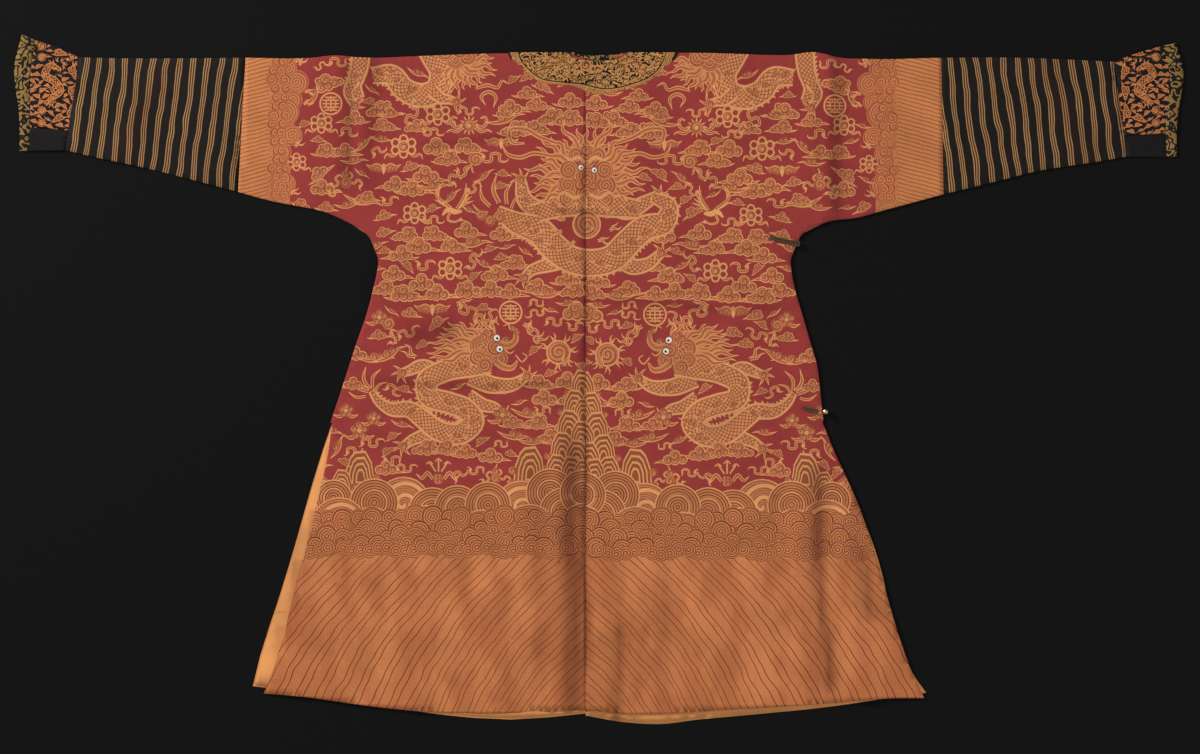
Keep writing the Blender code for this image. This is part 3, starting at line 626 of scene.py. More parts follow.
# Where the motifs of the left half lie: kind, x, y, size, turn, flip.
Spot = namedtuple("Spot", "kind x y size turn flip", defaults=(1.0, 0.0, 1))
LEFT_SPOTS = [
    Spot("shoulder_dragon", 0, 0), Spot("side_dragon", 0, 0),
    # sleeve and shoulder
    Spot("cloud", -490, 534, 1.05, 20), Spot("wisp", -512, 512, 0.6, 60), Spot("ribbon", -470, 572, 0.9),
    Spot("ribbon", -500, 566, 0.6, 30), Spot("flame", -548, 572, 0.8), Spot("medallion", -483, 497, 0.95),
    Spot("cloud", -440, 470, 0.85, 0, -1), Spot("cloud", -392, 486), Spot("cloud", -388, 458, 0.8),
    Spot("wisp", -372, 478, 0.7), Spot("ribbon", -452, 446, 0.95), Spot("knot", -500, 462, 0.9),
    Spot("cloud", -490, 412, 0.9), Spot("cloud", -458, 412, 0.85), Spot("wisp", -440, 394, 0.7),
    Spot("wisp", -424, 424, 0.7, 35), Spot("ribbon", -398, 412, 0.85, 30), Spot("knot", -352, 420, 1.05),
    Spot("ribbon", -336, 478, 1.0, 70), Spot("cloud", -328, 456, 0.8), Spot("bat", -388, 378, 0.95),
    Spot("cloud", -505, 372, 0.8, 40), Spot("cloud", -500, 346, 0.95), Spot("gourd", -456, 362),
    Spot("knot", -545, 392, 0.8), Spot("ribbon", -478, 336, 0.7), Spot("wisp", -424, 322, 1.0, -15),
    Spot("cloud", -420, 328, 0.7), Spot("wisp", -452, 314, 0.7), Spot("cloud", -366, 352, 0.95, 0, -1),
    Spot("cloud", -336, 344), Spot("ribbon", -378, 322, 0.9), Spot("knot", -332, 300, 0.95),
    Spot("ribbon", -300, 288, 0.8),
    # chest
    Spot("knot", -290, 478), Spot("wheel", -234, 458, 0.95), Spot("ribbon", -236, 484, 0.8),
    Spot("cloud", -160, 490, 0.95), Spot("wisp", -168, 470, 1.0, 12), Spot("cloud", -150, 450),
    Spot("cloud", -114, 452, 0.95), Spot("cloud", -130, 516, 0.8), Spot("cloud", -112, 496, 0.85),
    Spot("cloud", -84, 472), Spot("cloud", -52, 470, 1.0, 0, -1), Spot("cloud", -52, 502, 0.95),
    Spot("cloud", -292, 418, 1.05), Spot("cloud", -272, 398, 0.9), Spot("cloud", -238, 420, 0.95),
    Spot("bat", -176, 424, 0.95), Spot("fan", -232, 384, 1.15), Spot("ribbon", -190, 400),
    Spot("ribbon", -262, 364, 0.95, 80), Spot("ribbon", -224, 346, 0.8, 30), Spot("cloud", -312, 368, 1.05),
    Spot("wisp", -296, 348, 0.9), Spot("crane", -262, 310), Spot("ribbon", -300, 446, 0.8),
    Spot("cloud", -240, 268, 0.95), Spot("wisp", -226, 246), Spot("cloud", -264, 240, 0.9),
    Spot("cloud", -176, 262, 0.9), Spot("cloud", -172, 480, 0.6),
    # waist
    Spot("cloud", -346, 260, 0.9), Spot("cloud", -298, 262, 0.9), Spot("cloud", -326, 240, 1.05),
    Spot("cloud", -356, 226, 0.95, 0, -1), Spot("ribbon", -314, 206), Spot("knot", -268, 200),
    Spot("ribbon", -226, 216, 0.9, 60), Spot("cloud", -370, 190, 0.95), Spot("cloud", -386, 164, 0.9),
    Spot("cloud", -352, 154, 1.05), Spot("cloud", -320, 174), Spot("cloud", -292, 156),
    Spot("bat", -300, 124), Spot("flower", -396, 112), Spot("fan", -374, 88, 1.0, 60),
    Spot("ribbon", -344, 84, 0.9, 20), Spot("cloud", -186, 190), Spot("cloud", -236, 160, 1.05),
    Spot("cloud", -194, 162), Spot("cloud", -160, 158, 0.9), Spot("cloud", -154, 210, 0.9),
    Spot("cloud", -110, 166, 0.95), Spot("wisp", -88, 154, 0.9), Spot("cloud", -56, 180, 0.95),
    Spot("cloud", -46, 160, 0.9), Spot("flame", -256, 136, 1.1, -20), Spot("ribbon", -236, 124, 1.0, -20),
    Spot("ribbon", -206, 112, 1.0, 20), Spot("medallion", -159, 121, 0.98), Spot("ribbon", -112, 138, 0.75),
    Spot("ribbon", -114, 120, 0.75, 10, -1), Spot("cloud", -40, 122, 1.2), Spot("wisp", -56, 138, 0.6),
    Spot("ribbon", -78, 104, 0.85), Spot("ribbon", -44, 96, 0.85), Spot("flame", -136, 100, 1.0, -60),
    Spot("ribbon", -118, 86, 0.85, -60), Spot("flame", -112, 66, 0.9, 20), Spot("pearl", -73, 49, 0.92),
    # skirt
    Spot("cloud", -438, 46, 0.9), Spot("wisp", -400, 38, 0.9), Spot("wisp", -376, 46, 0.9, 25),
    Spot("cloud", -444, -8, 0.75), Spot("ribbon", -372, -18, 0.9, -25), Spot("flame", -330, 40, 1.1, 120),
    Spot("cloud", -106, -6, 0.9), Spot("cloud", -98, -34), Spot("cloud", -56, -2), Spot("cloud", -46, -34),
    Spot("flame", -62, 24, 0.9, 60), Spot("ribbon", -100, -56, 0.8), Spot("wisp", -126, -62, 0.9, -15),
    Spot("cloud", -112, -78, 0.9), Spot("flower", -174, -64, 1.1), Spot("cloud", -154, -78, 0.8),
    Spot("wisp", -150, -102, 0.9, -12), Spot("cloud", -88, -104, 0.9), Spot("wisp", -120, -112, 0.8, -10),
    Spot("cloud", -56, -84), Spot("ribbon", -176, -116, 0.7), Spot("flower", -456, -56, 0.9),
    Spot("flower", -432, -92, 1.1), Spot("flower", -406, -70, 0.9), Spot("ribbon", -410, -114, 0.9),
    Spot("cloud", -310, -124, 0.95), Spot("cloud", -272, -124, 0.9), Spot("cloud", -240, -130, 0.9),
    Spot("cloud", -196, -138, 0.95), Spot("ribbon", -372, -146, 0.9), Spot("ribbon", -348, -160, 0.8),
    Spot("cloud", -384, -160, 0.9), Spot("ribbon", -440, -130, 0.9), Spot("trident", -289, -170),
    Spot("ribbon", -252, -172, 0.9, 40), Spot("ribbon", -220, -164, 0.8), Spot("gourd", -186, -172, 0.9),
    Spot("rock", -432, -164, 0.95), Spot("rock", -462, -188, 0.7), Spot("rock", -126, -158),
    Spot("wisp", -470, -120, 0.7, 60),
]
# Large wave discs, from the highest row to the lowest: x, y, radius.
WAVES = [
    (-478, -214, 34), (-352, -224, 49), (-300, -238, 44), (-255, -232, 42), (-140, -232, 50),
    (-88, -204, 44), (-405, -222, 44), (-200, -226, 42), (-62, -240, 46), (-29, -204, 42),
    (-468, -262, 50), (-410, -276, 47), (-350, -280, 44), (-310, -272, 46), (-256, -282, 44),
    (-210, -282, 48), (-125, -276, 52), (-66, -286, 46), (-29, -262, 40), (-166, -290, 42),
]
# The tall rock on the centre seam, from its summit down: x, y, size.
PEAKS = [(-29, -12, 0.8), (-42, -48, 0.8), (-27, -60, 0.7), (-52, -86, 0.85), (-30, -104, 0.8),
         (-64, -126, 0.85), (-38, -140, 0.85), (-74, -164, 0.8), (-48, -168, 0.8), (-27, -170, 0.7)]


def draw_spots(pen, spots):
    """Draw a table of motifs."""
    for seed, spot in enumerate(spots):
        swell = CLOUD_SWELL if spot.kind in ("cloud", "wisp", "ribbon") else 1.0
        MOTIFS[spot.kind](pen.at(spot.x, spot.y, spot.size * swell, spot.turn, spot.flip), seed)


TRIES = 2600                 # places tried for the small curls
CLOUD_HALF = 21              # about half the width of a cloud's drawing


def fill_gaps(pen, low, high, clearance, seed):
    """Strew small curls where the ground lies bare."""
    luck = random.Random(seed)
    taken = [tuple(point) for shape, _, _ in pen.pattern.shapes for point in shape]
    tree = KDTree(len(taken))
    for number, (x, y) in enumerate(taken):
        tree.insert((x, y, 0), number)
    tree.balance()
    made = []
    for _ in range(TRIES):
        spot = (luck.uniform(low[0], high[0]), luck.uniform(low[1], high[1]))
        x, y = pen.place([spot])[0]
        if spot[0] < UNDERARM[0] and spot[1] < UNDERARM[1] and spot[1] > VENT_TOP:
            continue
        far = all(math.hypot(x - a, y - b) > 2.0 * clearance for a, b in made)
        if far and tree.find((x, y, 0))[2] > clearance:
            made.append((x, y))
            draw = luck.choice((draw_cloud, draw_wisp, draw_cloud))
            draw(pen.at(*spot, clearance / CLOUD_HALF, luck.uniform(-40, 40)), len(made))


def draw_foam_row(pen, start, end, y, radius, seed):
    """A row of foam scallops of uneven size and height."""
    luck = random.Random(seed)
    x = start
    while x < end:
        size = radius * luck.uniform(0.7, 1.3)
        pen.disc(x, y + luck.uniform(-5, 5), size, "foam")
        x += size * 1.45


def draw_waves(pen):
    """The sea of the skirt: rolling discs, foam and the slanting hem bands below."""
    pen.area([(-720, HEM_TOP - 4), (CENTRE_X + 8, HEM_TOP - 4), (CENTRE_X + 8, -196), (-100, -196),
              (-160, -205), (-330, -205), (-470, -196), (-500, -170), (-720, -160)], "foam_field")
    for x, y, size in PEAKS:
        draw_rock(pen.at(x, y, size), int(y))
    for x, y, radius in WAVES:
        pen.disc(x, y, radius, "roller" if radius > 47 else "wave")
    pen.area([(-720, -700), (CENTRE_X + 8, -700), (CENTRE_X + 8, HEM_TOP), (-720, HEM_TOP)], "hem")
    for row, (y, radius) in enumerate(((-250, 17), (-268, 16), (-284, 17), (-298, 16))):
        draw_foam_row(pen, -540 + 9 * (row % 2), CENTRE_X + 6, y, radius, row)
    for x in (-520, -430, -350, -252, -170, -90):
        for step in range(-2, 3):
            pen.disc(x + 16 * step, HEM_TOP - 9 + 2.2 * step * step, 14, "foam")


def draw_sleeve_bands(pen):
    """The bands at the sleeve's end: slanting lines, then waves and foam."""
    pen.area([(-700, 300), (-556, 300), (-560, 400), (-548, 470), (-545, 540), (-548, 620),
              (-700, 620)], "sleeve_foam")
    pen.area([(-700, 300), (-598, 300), (-592, 620), (-700, 620)], "sleeve_lines")
    luck = random.Random(5)
    pen.discs([(-545, 536, 22), (-552, 504, 18), (-566, 482, 26), (-553, 440, 19), (-572, 410, 18),
               (-574, 378, 18), (-566, 352, 20), (-560, 562, 16), (-566, 584, 18)], "sleeve_wave")
    for x in (-584, -568):
        for step in range(17):
            pen.disc(x + luck.uniform(-5, 5), 332 + 16 * step, 9 + 3 * luck.random(), "sleeve_wave")
    for x, y, turn in ((-530, 518, -20), (-540, 566, 30), (-532, 496, 0), (-548, 420, 10),
                       (-556, 334, 0)):
        draw_flame(pen.at(x, y, 0.7, turn))


def robe_pattern(side):
    """Everything woven into the left or the right half of the back."""
    pattern = Pattern("ground")
    pen = Pen(pattern) if side < 0 else Pen(pattern, 2 * MIRROR_X, MIRROR_DROP, 1, 0, -1)
    draw_spots(pen, LEFT_SPOTS)
    draw_waves(pen)
    draw_sleeve_bands(pen)
    draw_front_dragon(Pen(pattern))
    for clearance, seed in ((13.0, 7), (9.5, 8)):
        fill_gaps(pen, (-540, -180), (-30, 560), clearance, seed)
    return pattern


# ---------------------------------------------------------------- shells of cloth

# a crease's dark is painted shade laid along it, beside the lift of its real fold
Crease = namedtuple("Crease", "x0 y0 x1 y1 width lift dark bow", defaults=(0.0, 0.0))
CREASES = [

    # down the skirt: beside the centre seam, and from the vents
    Crease(-52, -60, -46, -640, 19, -0.7, 0.75), Crease(-74, 430, -72, -640, 18, 1.6),
    Crease(-6, 20, 4, -640, 15, 1.5), Crease(-26, 520, -25, -640, 5, -0.7, 0.7),
    Crease(36, -420, 30, -640, 14, -0.6, 0.6), Crease(60, -380, 58, -640, 14, 1.6),
    Crease(394, -130, 424, -600, 13, -0.7, 0.75, 10), Crease(358, -130, 380, -620, 18, 2.4, 0.0, 8),
    Crease(436, -190, 492, -640, 18, 2.4, 0.0, 8), Crease(472, -290, 490, -450, 14, -0.6, 0.5),
    Crease(-540, -240, -566, -500, 20, -0.6, 0.4), Crease(-508, -150, -556, -640, 22, 2.0),
    Crease(-300, -300, -330, -640, 34, 1.8), Crease(-400, -280, -452, -600, 24, 1.3),
    Crease(-180, -330, -200, -640, 30, 1.3), Crease(180, -320, 196, -640, 28, 1.5),
    Crease(262, -300, 290, -620, 26, 1.6), Crease(-112, -120, -108, -600, 22, -0.4, 0.25),
    Crease(112, -300, 118, -620, 18, -0.4, 0.3),
    # across the waist and the skirt, where the robe was stored folded
    Crease(-470, 4, 30, -6, 9, 0.9), Crease(-440, -8, -20, -14, 7, -0.5, 0.3),
    Crease(-10, 148, 380, 132, 7, 1.1), Crease(-10, 138, 340, 124, 6, -0.5, 0.32),
    Crease(-400, 134, -60, 142, 8, 0.9), Crease(-20, -452, 250, -446, 5, 1.0),
    Crease(-20, -470, 220, -462, 5, -0.4, 0.3), Crease(-160, 303, 30, 300, 4, -0.6, 0.6),
    Crease(-158, 310, 40, 307, 5, 1.0), Crease(-330, 420, -120, 448, 6, -0.5, 0.35, 6),
    Crease(-330, 428, -120, 457, 6, 0.9, 0.0, 6), Crease(70, 446, 300, 440, 6, 0.9),
    Crease(-480, 527, -150, 531, 5, 0.8), Crease(150, 520, 420, 516, 5, 0.8),
    # from the underarms and over the sleeves
    Crease(-430, 640, -428, 320, 13, 2.4), Crease(-452, 600, -450, 320, 16, -0.7, 0.55),
    Crease(-404, 600, -408, 400, 12, -0.5, 0.45), Crease(411, 640, 414, 280, 12, 2.6),
    Crease(432, 600, 430, 260, 14, -0.7, 0.5), Crease(394, 560, 398, 380, 10, -0.4, 0.35),
    Crease(-392, 230, -250, 60, 26, 1.4, 0.0, 10), Crease(340, 226, 210, 60, 26, 1.5, 0.0, -10),
    Crease(-350, 80, -250, 96, 20, -0.6, 0.5, 6), Crease(250, 20, 380, -30, 22, 1.2),
    Crease(150, -60, 330, -120, 24, 1.2), Crease(-420, -250, -250, -300, 22, 1.1),
    Crease(-590, 600, -720, 330, 24, 1.0), Crease(560, 600, 700, 330, 24, 1.1),
    Crease(-760, 600, -880, 380, 18, 1.0, 0.2), Crease(780, 600, 900, 370, 18, 1.0, 0.2),
]


CREASE_FADE = 0.16           # share of a crease's length over which its end fades
WANDER = 2.5                 # how far a crease strays from its line
WANDER_LENGTH = 47.0
RIPPLE_X, RIPPLE_Y, RIPPLE_HEIGHT = 70.0, 95.0, 0.6
LIFT_GAIN = 1.6
LIFT_LOW, LIFT_HIGH = -0.8, 4.8


def creases(places):
    """Lift of the folds, and the painted shade laid along them, at each place of a plan."""
    lift = np.zeros(len(places))
    dark = np.zeros(len(places))
    for crease in CREASES:
        run = np.array([crease.x1 - crease.x0, crease.y1 - crease.y0])
        length = float(np.hypot(*run))
        along = (places - (crease.x0, crease.y0)) @ run / length**2
        across = (places - (crease.x0, crease.y0)) @ np.array([run[1], -run[0]]) / length
        across = across - crease.bow * 4 * along * (1 - along)
        across = across + WANDER * np.sin(along * length / WANDER_LENGTH)
        ends = np.clip(np.minimum(along, 1 - along) / CREASE_FADE, 0, 1)
        shape = np.exp(-((across / crease.width) ** 2)) * ends * ends * (3 - 2 * ends)
        lift += crease.lift * shape
        dark += crease.dark * shape
    ripple = [noise.noise(Vector((x / RIPPLE_X, y / RIPPLE_Y, 3.0))) for x, y in places]
    lift = np.clip(LIFT_GAIN * lift, LIFT_LOW, LIFT_HIGH)
    return lift + RIPPLE_HEIGHT * np.array(ripple), np.clip(dark, 0, 1)


WELD = 0.01 * MM             # corners nearer than this are one
UPWARD = 0.7                 # least upward part of an upward face's normal
SAME_SHEET = 0.6             # radians: neighbouring faces that turn more are of another sheet
BORDER_STEP = 8.0            # millimetres between the points of a panel's border
CORNER = 50.0                # degrees: a border that turns more keeps its corner


def cad_surface(node):
    """A merged copy of a CAD node's mesh."""
    mesh = bmesh.new()
    mesh.from_mesh(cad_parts[node].data)
    bmesh.ops.remove_doubles(mesh, verts=mesh.verts, dist=WELD)
    mesh.normal_update()
    return mesh


def outer_top(mesh):
    """The upward faces of a CAD node that are joined to its highest face."""
    def is_up(face):
        return face.normal.z > UPWARD

    first = max(filter(is_up, mesh.faces), key=lambda face: face.calc_center_median().z)
    found, waiting = {first}, [first]
    while waiting:
        face = waiting.pop()
        for edge in face.edges:
            for other in edge.link_faces:
                same = other.normal.angle(face.normal) < SAME_SHEET
                if other not in found and is_up(other) and same:
                    found.add(other)
                    waiting.append(other)
    return found


def border(faces):
    """The outer border of a patch of faces, anticlockwise, in millimetres."""
    following = {}
    for face in faces:
        for loop in face.loops:
            if sum(other in faces for other in loop.edge.link_faces) == 1:
                following[loop.vert] = loop.link_loop_next.vert
    vert = min(following, key=lambda vert: tuple(vert.co))
    ring = []
    while vert not in ring:
        ring.append(vert)
        vert = following[vert]
    return np.array([vert.co.xy for vert in ring]) / MM


def rounded_border(points):
    """Smooth a border between its corners."""
    ahead = np.roll(points, -1, axis=0) - points
    heading = np.degrees(np.arctan2(ahead[:, 1], ahead[:, 0]))
    turn = np.abs((heading - np.roll(heading, 1) + 180) % 360 - 180)
    corners = [i for i in range(len(points)) if turn[i] > CORNER]
    if len(corners) < 2:
        corners = [0, len(points) // 2]
    line = []
    for first, last in zip(corners, corners[1:] + [corners[0] + len(points)]):
        stretch = np.take(points, range(first, last + 1), axis=0, mode="wrap")
        line.extend(smooth(stretch, BORDER_STEP)[:-1])
    return np.array(line)


class Level:
    """Smoothed height of a CAD node's outer face, with the cloth's creases."""

    CELL = 10.0

    def __init__(self, mesh, blur=3, creased=1.0):
        tree = BVHTree.FromBMesh(mesh)
        low = np.min([vert.co[:2] for vert in mesh.verts], axis=0) / MM
        high = np.max([vert.co[:2] for vert in mesh.verts], axis=0) / MM
        self.low = low
        columns, rows = np.ceil((high - low) / self.CELL).astype(int) + 1
        grid = np.full((rows, columns), np.nan)
        for j in range(rows):
            for i in range(columns):
                start = Vector((low[0] + i * self.CELL, low[1] + j * self.CELL, 60)) * MM
                hit = tree.ray_cast(start, Vector((0, 0, -1)))[0]
                if hit is not None:
                    grid[j, i] = hit.z / MM
        while np.isnan(grid).any():
            padded = np.pad(grid, 1, constant_values=np.nan)
            around = np.stack([padded[1:-1, :-2], padded[1:-1, 2:], padded[:-2, 1:-1],
                               padded[2:, 1:-1]])
            known = ~np.isnan(around)
            total = np.where(known, around, 0).sum(axis=0)
            count = known.sum(axis=0)
            grid = np.where(np.isnan(grid) & (count > 0), total / np.maximum(count, 1), grid)
        for _ in range(blur):
            padded = np.pad(grid, 1, mode="edge")
            grid = sum(padded[a:a + rows, b:b + columns] for a in range(3) for b in range(3)) / 9
        self.grid = grid
        self.creased = creased

    def read(self, places):
        """Height at each place, in millimetres, and the painted shade of the folds there."""
        places = np.asarray(places, float)
        at = (places - self.low) / self.CELL
        rows, columns = self.grid.shape
        i = np.clip(at[:, 0].astype(int), 0, columns - 2)
        j = np.clip(at[:, 1].astype(int), 0, rows - 2)
        u, v = np.clip(at[:, 0] - i, 0, 1), np.clip(at[:, 1] - j, 0, 1)
        grid = self.grid
        height = ((1 - u) * (1 - v) * grid[j, i] + u * (1 - v) * grid[j, i + 1]
                  + (1 - u) * v * grid[j + 1, i] + u * v * grid[j + 1, i + 1])
        lift, dark = creases(places)
        return height + lift * self.creased, dark


def top_shape(place, sources, lows, highs):
    """The last shape over a place, -1 on the ground and -2 off the panel."""
    if 0 not in sources:
        return -2
    for number in sorted(sources, reverse=True):
        if (lows[number] < place).all() and (place < highs[number]).all():
            return number - 1
    return -1


def cut_panel(name, outline, pattern, finishes, level, cell):
    """Cut the woven shapes into a panel: each shape's faces take their finish and their place."""
    x0, y0 = outline.min(axis=0)
    x1, y1 = outline.max(axis=0)
    columns, rows = np.arange(x0 + cell / 3, x1, cell), np.arange(y0 + cell / 3, y1, cell)
    grid = [(x, y) for x in columns for y in rows]
    points, polygons = [Vector(p) for p in outline], [list(range(len(outline)))]
    for shape, _, _ in pattern.shapes:
        polygons.append(list(range(len(points), len(points) + len(shape))))
        points.extend(Vector(p) for p in shape)
    points.extend(Vector(p) for p in grid)
    verts, _, faces, _, _, sources = geometry.delaunay_2d_cdt(points, [], polygons, 1, 0.02, True)
    plan = np.array([tuple(v) for v in verts])
    shapes = [outline, *(shape for shape, _, _ in pattern.shapes)]
    lows = np.array([shape.min(axis=0) for shape in shapes]) - 0.01
    highs = np.array([shape.max(axis=0) for shape in shapes]) + 0.01
    middles = [plan[face].mean(axis=0) for face in faces]
    tops = [top_shape(*item, lows, highs) for item in zip(middles, sources)]
    kept = [(face, top) for face, top in zip(faces, tops) if top > -2]
    height, dark = level.read(plan)
    mesh = bpy.data.meshes.new(name)
    used = sorted({v for face, _ in kept for v in face})
    renumber = {v: i for i, v in enumerate(used)}
    mesh.from_pydata(
        [(plan[v, 0] * MM, plan[v, 1] * MM, height[v] * MM) for v in used], [],
        [[renumber[v] for v in face] for face, _ in kept])
    slots = list(finishes)
    indices, corners = [], []
    for face, top in kept:
        kind, shape = (pattern.ground, None) if top < 0 else pattern.shapes[top][1:]
        indices.append(slots.index(kind))
        for v in face:
            corners.extend(within(plan[v], shape))
    mesh.polygons.foreach_set("material_index", indices)
    figure = mesh.attributes.new(FIGURE, "FLOAT_VECTOR", "CORNER")
    figure.data.foreach_set("vector", corners)
    # painted shade of the folds, which each finish blends into its colour
    painted_fold_shade = mesh.attributes.new(PAINTED_FOLD_SHADE, "FLOAT", "POINT")
    painted_fold_shade.data.foreach_set("value", dark[used])
    return mesh


def fold_edges(cloth, edges, is_fold, bulge, foot, turn, steps):
    """Carry the folded edges of a panel round towards the floor and back under themselves."""
    rim, outward = [], {}
    for edge in edges:
        loop = edge.link_loops[0]
        along = (loop.link_loop_next.vert.co - loop.vert.co).xy.normalized()
        out = Vector((along.y, -along.x))
        middle = (edge.verts[0].co + edge.verts[1].co).xy / 2 / MM
        if is_fold(middle.x, middle.y, out):
            rim.append(edge)
            for vert in edge.verts:
                outward[vert] = outward.get(vert, Vector((0, 0))) + out
    places = {vert: (vert.co.copy(), out.normalized()) for vert, out in outward.items()}
    for step in range(1, steps + 1):
        angle = turn * step / steps
        found = {tuple(vert.co): place for vert, place in places.items()}
        made = bmesh.ops.extrude_edge_only(cloth, edges=rim)["geom"]
        rim = [item for item in made if isinstance(item, bmesh.types.BMEdge)]
        places = {}
        for vert in (item for item in made if isinstance(item, bmesh.types.BMVert)):
            start, out = places[vert] = found[tuple(vert.co)]
            half = (start.z - foot) / 2
            spread = out * bulge * math.sin(angle)
            vert.co = (start.x + spread.x, start.y + spread.y, foot + half + half * math.cos(angle))


def put(name, data, place=(0, 0, 0)):
    """Put a mesh, a lamp or a camera in the scene."""
    thing = bpy.data.objects.new(name, data)
    thing.location = place
    bpy.context.scene.collection.objects.link(thing)
    return thing


def finish_piece(name, mesh, finishes, wall, node, inner=None):
    """Put a cloth shell in the scene, with its wall and its finishes, and hide the CAD node it stands for."""
    for finish in finishes.values():
        mesh.materials.append(finish)
    if inner is not None:
        mesh.materials.append(inner)
    piece = put(name, mesh)
    solidify = piece.modifiers.new("wall", "SOLIDIFY")
    solidify.thickness = wall
    solidify.offset = -1
    solidify.material_offset = len(mesh.materials) if inner is not None else 0
    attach(piece, "root")
    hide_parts(node)
    return piece


OPEN_TURN = math.radians(150)   # how far a single layer's folded edge curls round
FOLD_WELD = 0.003 * MM


def make_panel(name, node, pattern, finishes, wall, is_fold, inner=None, tube=False,
               foot=0.7, blur=3, creased=1.0, cell=None):
    """Make one figured panel, or the flat tube of a sleeve, on its CAD node's outline and height."""
    solid = cad_surface(node)
    outline = rounded_border(border(outer_top(solid)))
    level = Level(solid, blur, creased)
    solid.free()
    mesh = cut_panel(name, outline, pattern, finishes, level, cell or sizes().cell / MM)
    cloth = bmesh.new()
    cloth.from_mesh(mesh)
    rim = [edge for edge in cloth.edges if edge.is_boundary]
    if tube:
        under = bmesh.ops.duplicate(cloth, geom=cloth.verts[:] + cloth.edges[:] + cloth.faces[:])["geom"]
        for item in under:
            if isinstance(item, bmesh.types.BMVert):
                item.co.z = foot * MM
        lower = [item for item in under if isinstance(item, bmesh.types.BMFace)]
        bmesh.ops.reverse_faces(cloth, faces=lower)
    turn, steps = (math.pi, 4) if tube else (OPEN_TURN, 3)
    fold_edges(cloth, rim, is_fold, sizes().bulge, foot * MM, turn, steps)
    bmesh.ops.remove_doubles(cloth, verts=cloth.verts, dist=FOLD_WELD)
    cloth.to_mesh(mesh)
    cloth.free()
    mesh.shade_smooth()
    return finish_piece(name, mesh, finishes, wall, node, inner)


# ---------------------------------------------------------------- finishes

PAINTED_FOLD_SHADE_SHARE = 0.8     # how much of the painted fold shade's colour the deepest fold takes
WEAVE_DEPTH = 0.12     # millimetres
LINE_SHARE = 0.15      # half a drawn line's width over the distance between lines


class Value:
    """A number that a finish's nodes work out; arithmetic with it adds nodes."""

    def __init__(self, finish, socket):
        self.finish = finish
        self.socket = socket

    def step(self, operation, *others):
        """One step of arithmetic that starts from this number."""
        return self.finish.math(operation, self, *others)

    def __add__(self, other):
        return self.step("ADD", other)

    def __sub__(self, other):
        return self.step("SUBTRACT", other)

    def __mul__(self, other):
        return self.step("MULTIPLY", other)

    def __abs__(self):
        return self.step("ABSOLUTE")


